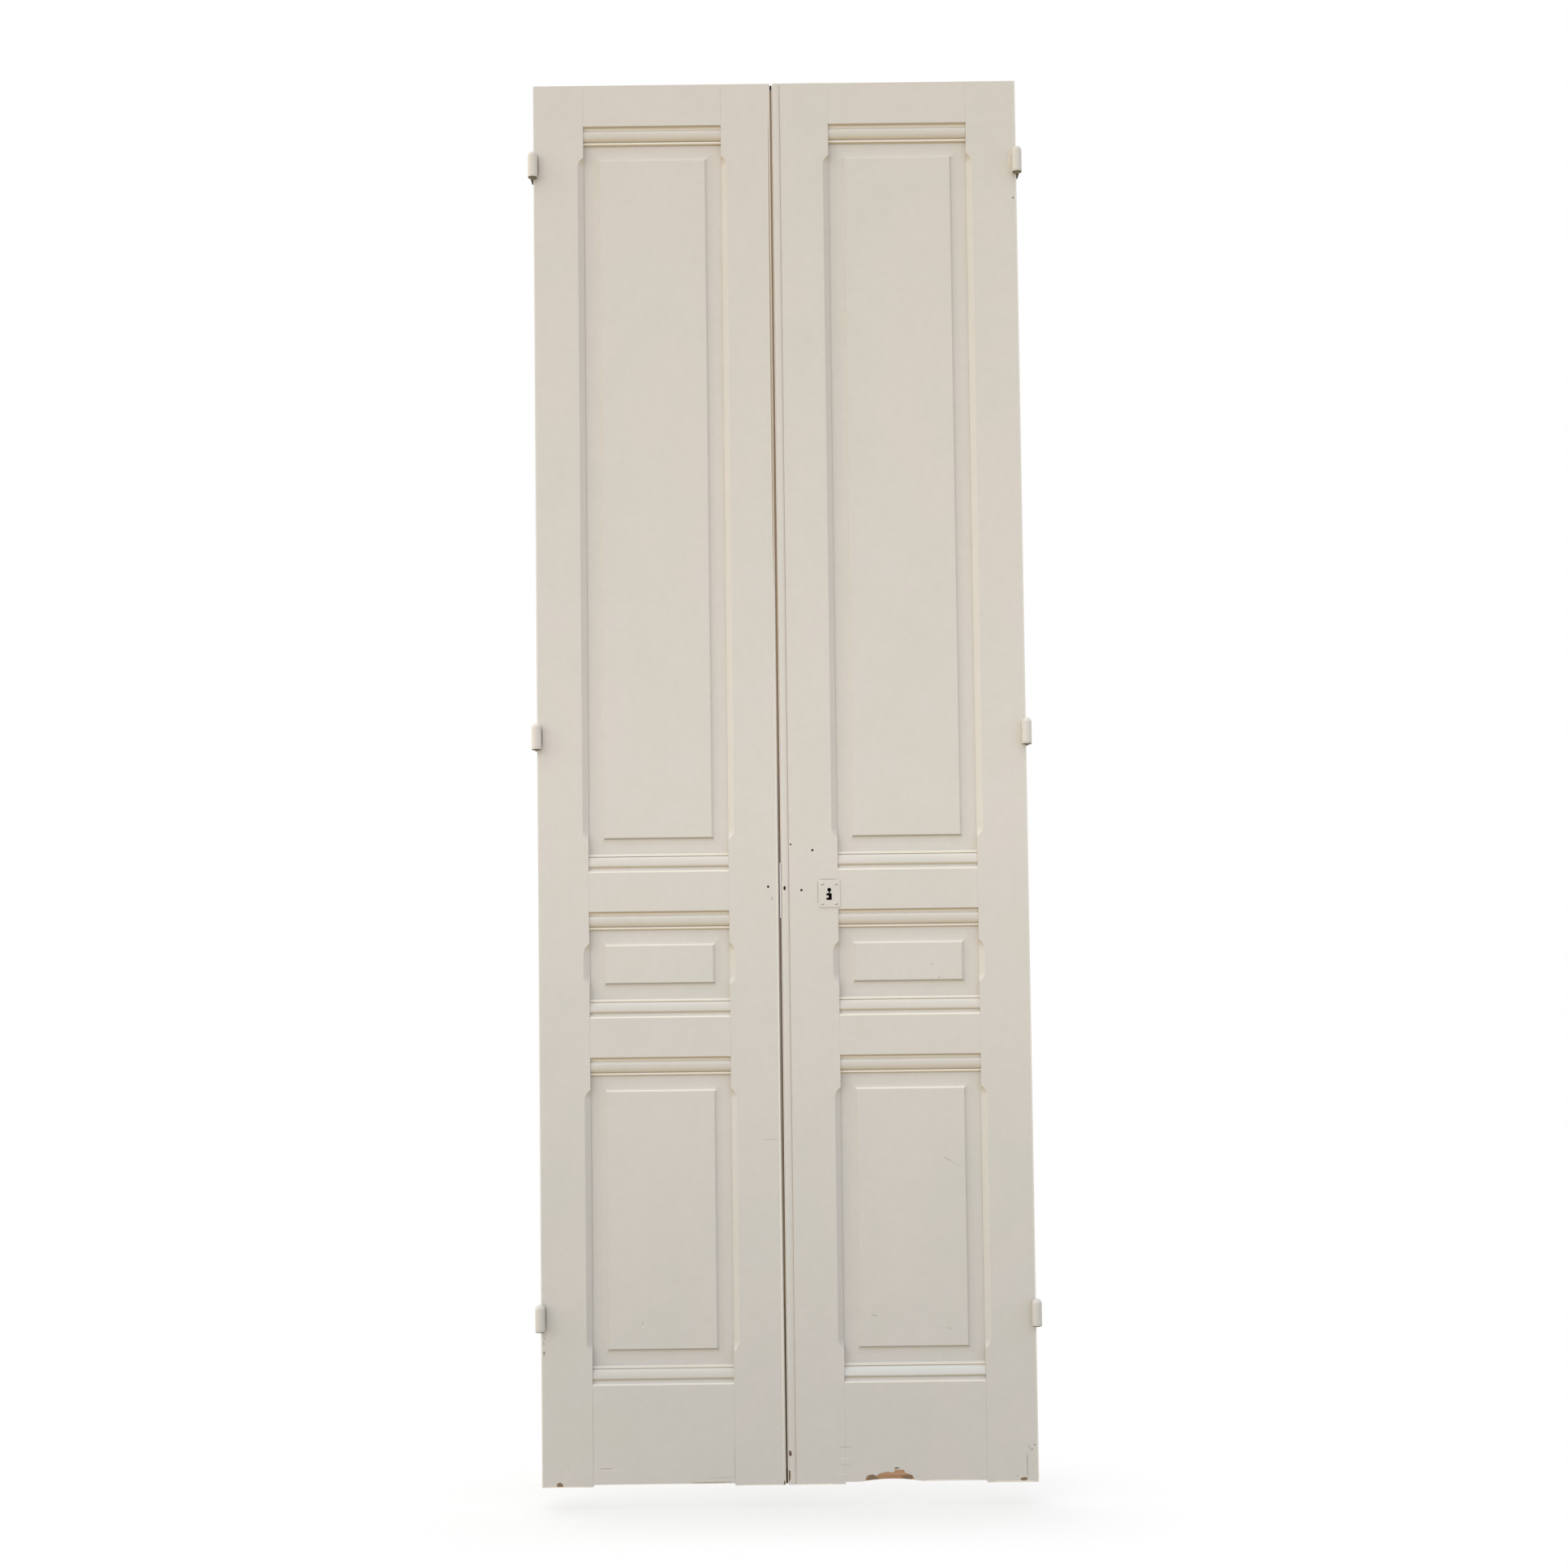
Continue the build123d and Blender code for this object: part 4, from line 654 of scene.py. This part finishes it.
# Painted shade under each hinge collar and the crank of its plate.
COLLAR_DROP = 0.0052
COLLAR_UNDERSIDE_SHADE = []
for side in ("left", "right"):
    for place in HINGE_PLACES:
        low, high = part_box(f"{side}_{place}_hinge_barrel")
        foot = ((low.x + high.x) / 2, low.y, low.z - COLLAR_DROP)
        COLLAR_UNDERSIDE_SHADE.append((foot, (0.03, 0.03, 0.0021), 0.0, 0.6, (0.17, 0.145, 0.11, 1)))
BARREL_PAINT = painted_iron("barrel_paint", FRONT + 0.001)
COLLAR_PAINT = painted_iron("collar_paint", FRONT + 0.004, COLLAR_UNDERSIDE_SHADE)
SCREW_IRON = aged_iron("screw_iron", 0.5)
for side, way, seed in (("left", (-1, 0, 0), 3), ("right", (1, 0, 0), 5)):
    for place in HINGE_PLACES:
        nodes[f"{side}_{place}_hinge_barrel"].data.materials[0] = BARREL_PAINT
        nodes[f"{side}_{place}_hinge_pin"].data.materials[0] = COLLAR_PAINT
    fit_screws(f"{side}_hinge_screws", f"{side}_leaf", way, HINGE_SCREW, seed, SCREW_IRON)

# Keyhole plate
# A sheet-iron plate with the key's outline pierced through it, held by four round-headed nails.
# Both are under as many coats of paint as the door.
PLATE_LOW, PLATE_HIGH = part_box("escutcheon_nails")
NAIL_SHADE = (0.4, 0.37, 0.32, 1)
# Painted shadows: a dark crescent under each nail head, on the plate and the nails.
NAIL_SHADOWS = [
    ((x, FRONT - 0.002, z), (0.0036, 0.004, 0.0011), 0.35, 0.8, NAIL_SHADE)
    for x in (PLATE_LOW.x + 0.003, PLATE_HIGH.x - 0.003)
    for z in (PLATE_LOW.z + 0.0015, PLATE_HIGH.z - 0.0045)
]
nodes["escutcheon"].data.materials[0] = painted_iron("plate_paint", FRONT + 0.02, NAIL_SHADOWS)
nodes["escutcheon_nails"].data.materials[0] = painted_iron("nail_paint", FRONT - 0.0002, NAIL_SHADOWS)

# Rim lock
# A flat iron box screwed to the back of the right leaf, with its edge bent over the leaf's own edge.
# Inside, the key throws a bolt that a sprung lever holds.
LOCK_SCREW = {**SCREW_HEAD, "Length": 0.032}
LOCK_IRON = aged_iron("lock_iron", 0.46)
WORKS_IRON = aged_iron("works_iron", 0.38)
nodes["lock_case"].data.materials[0] = painted_iron("lock_edge_paint", FRONT + 0.012)
nodes["lock_cap"].data.materials[0] = LOCK_IRON
for name in ("lock_bolt", "lock_lever"):
    nodes[name].data.materials[0] = WORKS_IRON
fit_screws("lock_screws", "right_leaf", (0, 1, 0), LOCK_SCREW, 11, SCREW_IRON)

# Keep
# A bent iron box that takes the lock's bolt. Two flanges hold it to the back of the left leaf, with
# a screw in each.
KEEP_SCREW = {**SCREW_HEAD, "Length": 0.02}
nodes["lock_keep"].data.materials[0] = LOCK_IRON
fit_screws("lock_keep_screws", "left_leaf", (0, 1, 0), KEEP_SCREW, 17, SCREW_IRON)

# Surface bolts
# Two iron rods with knobs that hold the left leaf at its top and foot. Each slides through staples
# on a plate that is screwed to the leaf's back.
BOLT_SCREW = {**SCREW_HEAD, "Length": 0.013}
ROD_IRON = aged_iron("rod_iron", 0.4)
for place in ("top", "bottom"):
    nodes[f"{place}_bolt_plate"].data.materials[0] = LOCK_IRON
    nodes[f"{place}_bolt_rod"].data.materials[0] = ROD_IRON
fit_screws("barrel_bolt_screws", "left_leaf", (0, 1, 0), BOLT_SCREW, 23, SCREW_IRON)

# Floor
# A pale studio floor just under the hung leaves, which fades into the white around it and throws a
# warm light back at them.
FLOOR_LEVEL, FLOOR_REACH = -0.04, 30.0
FADE_NEAR, FADE_FAR, MOST_SHOWN = 0.02, 0.34, 0.45
floor_mesh = bpy.data.meshes.new("studio_floor")
floor_corners = [(x * FLOOR_REACH, y * FLOOR_REACH, 0) for x, y in ((-1, -1), (1, -1), (1, 1), (-1, 1))]
floor_mesh.from_pydata(floor_corners, [], [(0, 1, 2, 3)])
floor_mesh.transform(Matrix.Translation((0, 0, FLOOR_LEVEL)))
floor = bpy.data.objects.new("studio_floor", floor_mesh)
bpy.context.scene.collection.objects.link(floor)
floor_paint, floor_tree, floor_shader, floor_place, _ = new_material("studio_floor")
floor_rays = add(floor_tree, "ShaderNodeLightPath").outputs
floor_seen = floor_rays["Is Camera Ray"]
floor_tone = blend(floor_tree, floor_seen, (0.52, 0.44, 0.32, 1), (0.75, 0.72, 0.67, 1))
floor_tree.links.new(floor_tone, floor_shader.inputs["Base Color"])
floor_shader.inputs["Roughness"].default_value = 0.95
floor_shader.inputs["Specular IOR Level"].default_value = 0.0
floor_parts = add(floor_tree, "ShaderNodeSeparateXYZ", {0: floor_place}).outputs
across = reckon(floor_tree, "ABSOLUTE", floor_parts[0])
beside = reckon(floor_tree, "MAXIMUM", reckon(floor_tree, "SUBTRACT", across, cad_box[1].x), 0.0)
around = add(floor_tree, "ShaderNodeCombineXYZ", {0: beside, 1: floor_parts[1]}).outputs[0]
far = add(floor_tree, "ShaderNodeVectorMath", {0: around}, operation="LENGTH").outputs["Value"]
fade = add(
    floor_tree, "ShaderNodeMapRange", {0: far, 1: FADE_NEAR, 2: FADE_FAR}, interpolation_type="SMOOTHSTEP"
).outputs[0]
shown = spread(floor_tree, fade, 0.0, 1.0, MOST_SHOWN, 0.0)
hidden = reckon(floor_tree, "MULTIPLY", reckon(floor_tree, "SUBTRACT", 1.0, shown), floor_seen)
floor_tree.links.new(reckon(floor_tree, "SUBTRACT", 1.0, hidden), floor_shader.inputs["Alpha"])
floor_mesh.materials.append(floor_paint)

# Light
# Soft daylight from all around, a little cooler at eye level than overhead. It is stronger and
# warmer from the left, and what the camera sees of it is plain white.
world = bpy.data.worlds.new("soft_sky")
bpy.context.scene.world = world
world.use_nodes = True
sky = world.node_tree
sky_light = sky.nodes["Background"]
rays = add(sky, "ShaderNodeLightPath").outputs
seen = reckon(sky, "MAXIMUM", rays["Is Camera Ray"], rays["Is Glossy Ray"])
seen = reckon(sky, "MAXIMUM", seen, rays["Is Transmission Ray"])
way = add(sky, "ShaderNodeTexCoord").outputs["Generated"]
way_parts = add(sky, "ShaderNodeSeparateXYZ", {0: way}).outputs
level = blend(sky, spread(sky, way_parts[2], 0.0, 1.0), (1.25, 1.33, 1.5, 1), (1.28, 1.33, 1.39, 1))
tint = blend(sky, spread(sky, way_parts[0], -1.0, 0.3), (1.82, 1.71, 1.5, 1), (0.725, 0.77, 0.845, 1))
tone = blend(sky, 1.0, level, tint, "MULTIPLY")
sky.links.new(blend(sky, seen, tone, (1, 1, 1, 1)), sky_light.inputs["Color"])
sky_light.inputs["Strength"].default_value = 1.0

# Camera
# Stands four metres in front of the leaves at chest height. It looks slightly up and is held a
# little askew.
FIELD_OF_VIEW = math.radians(39.59)
CAMERA_PLACE = Vector((-0.0013, FRONT - 4.0, 1.0763))
YAW, PITCH, ROLL = math.radians(0.067), math.radians(2.776), math.radians(-0.697)
ahead = Vector((math.sin(YAW) * math.cos(PITCH), math.cos(YAW) * math.cos(PITCH), math.sin(PITCH)))
right = Vector((math.cos(YAW), -math.sin(YAW), 0))
above = right.cross(ahead)
right, above = (
    right * math.cos(ROLL) + above * math.sin(ROLL),
    above * math.cos(ROLL) - right * math.sin(ROLL),
)
camera_data = bpy.data.cameras.new("camera")
camera_data.sensor_fit = "HORIZONTAL"
camera_data.angle = FIELD_OF_VIEW
camera = bpy.data.objects.new("camera", camera_data)
bpy.context.scene.collection.objects.link(camera)
turn = Matrix((right, above, -ahead)).transposed().to_4x4()
camera.matrix_world = Matrix.Translation(CAMERA_PLACE) @ turn
bpy.context.scene.camera = camera
bpy.context.scene.view_settings.view_transform = "Standard"
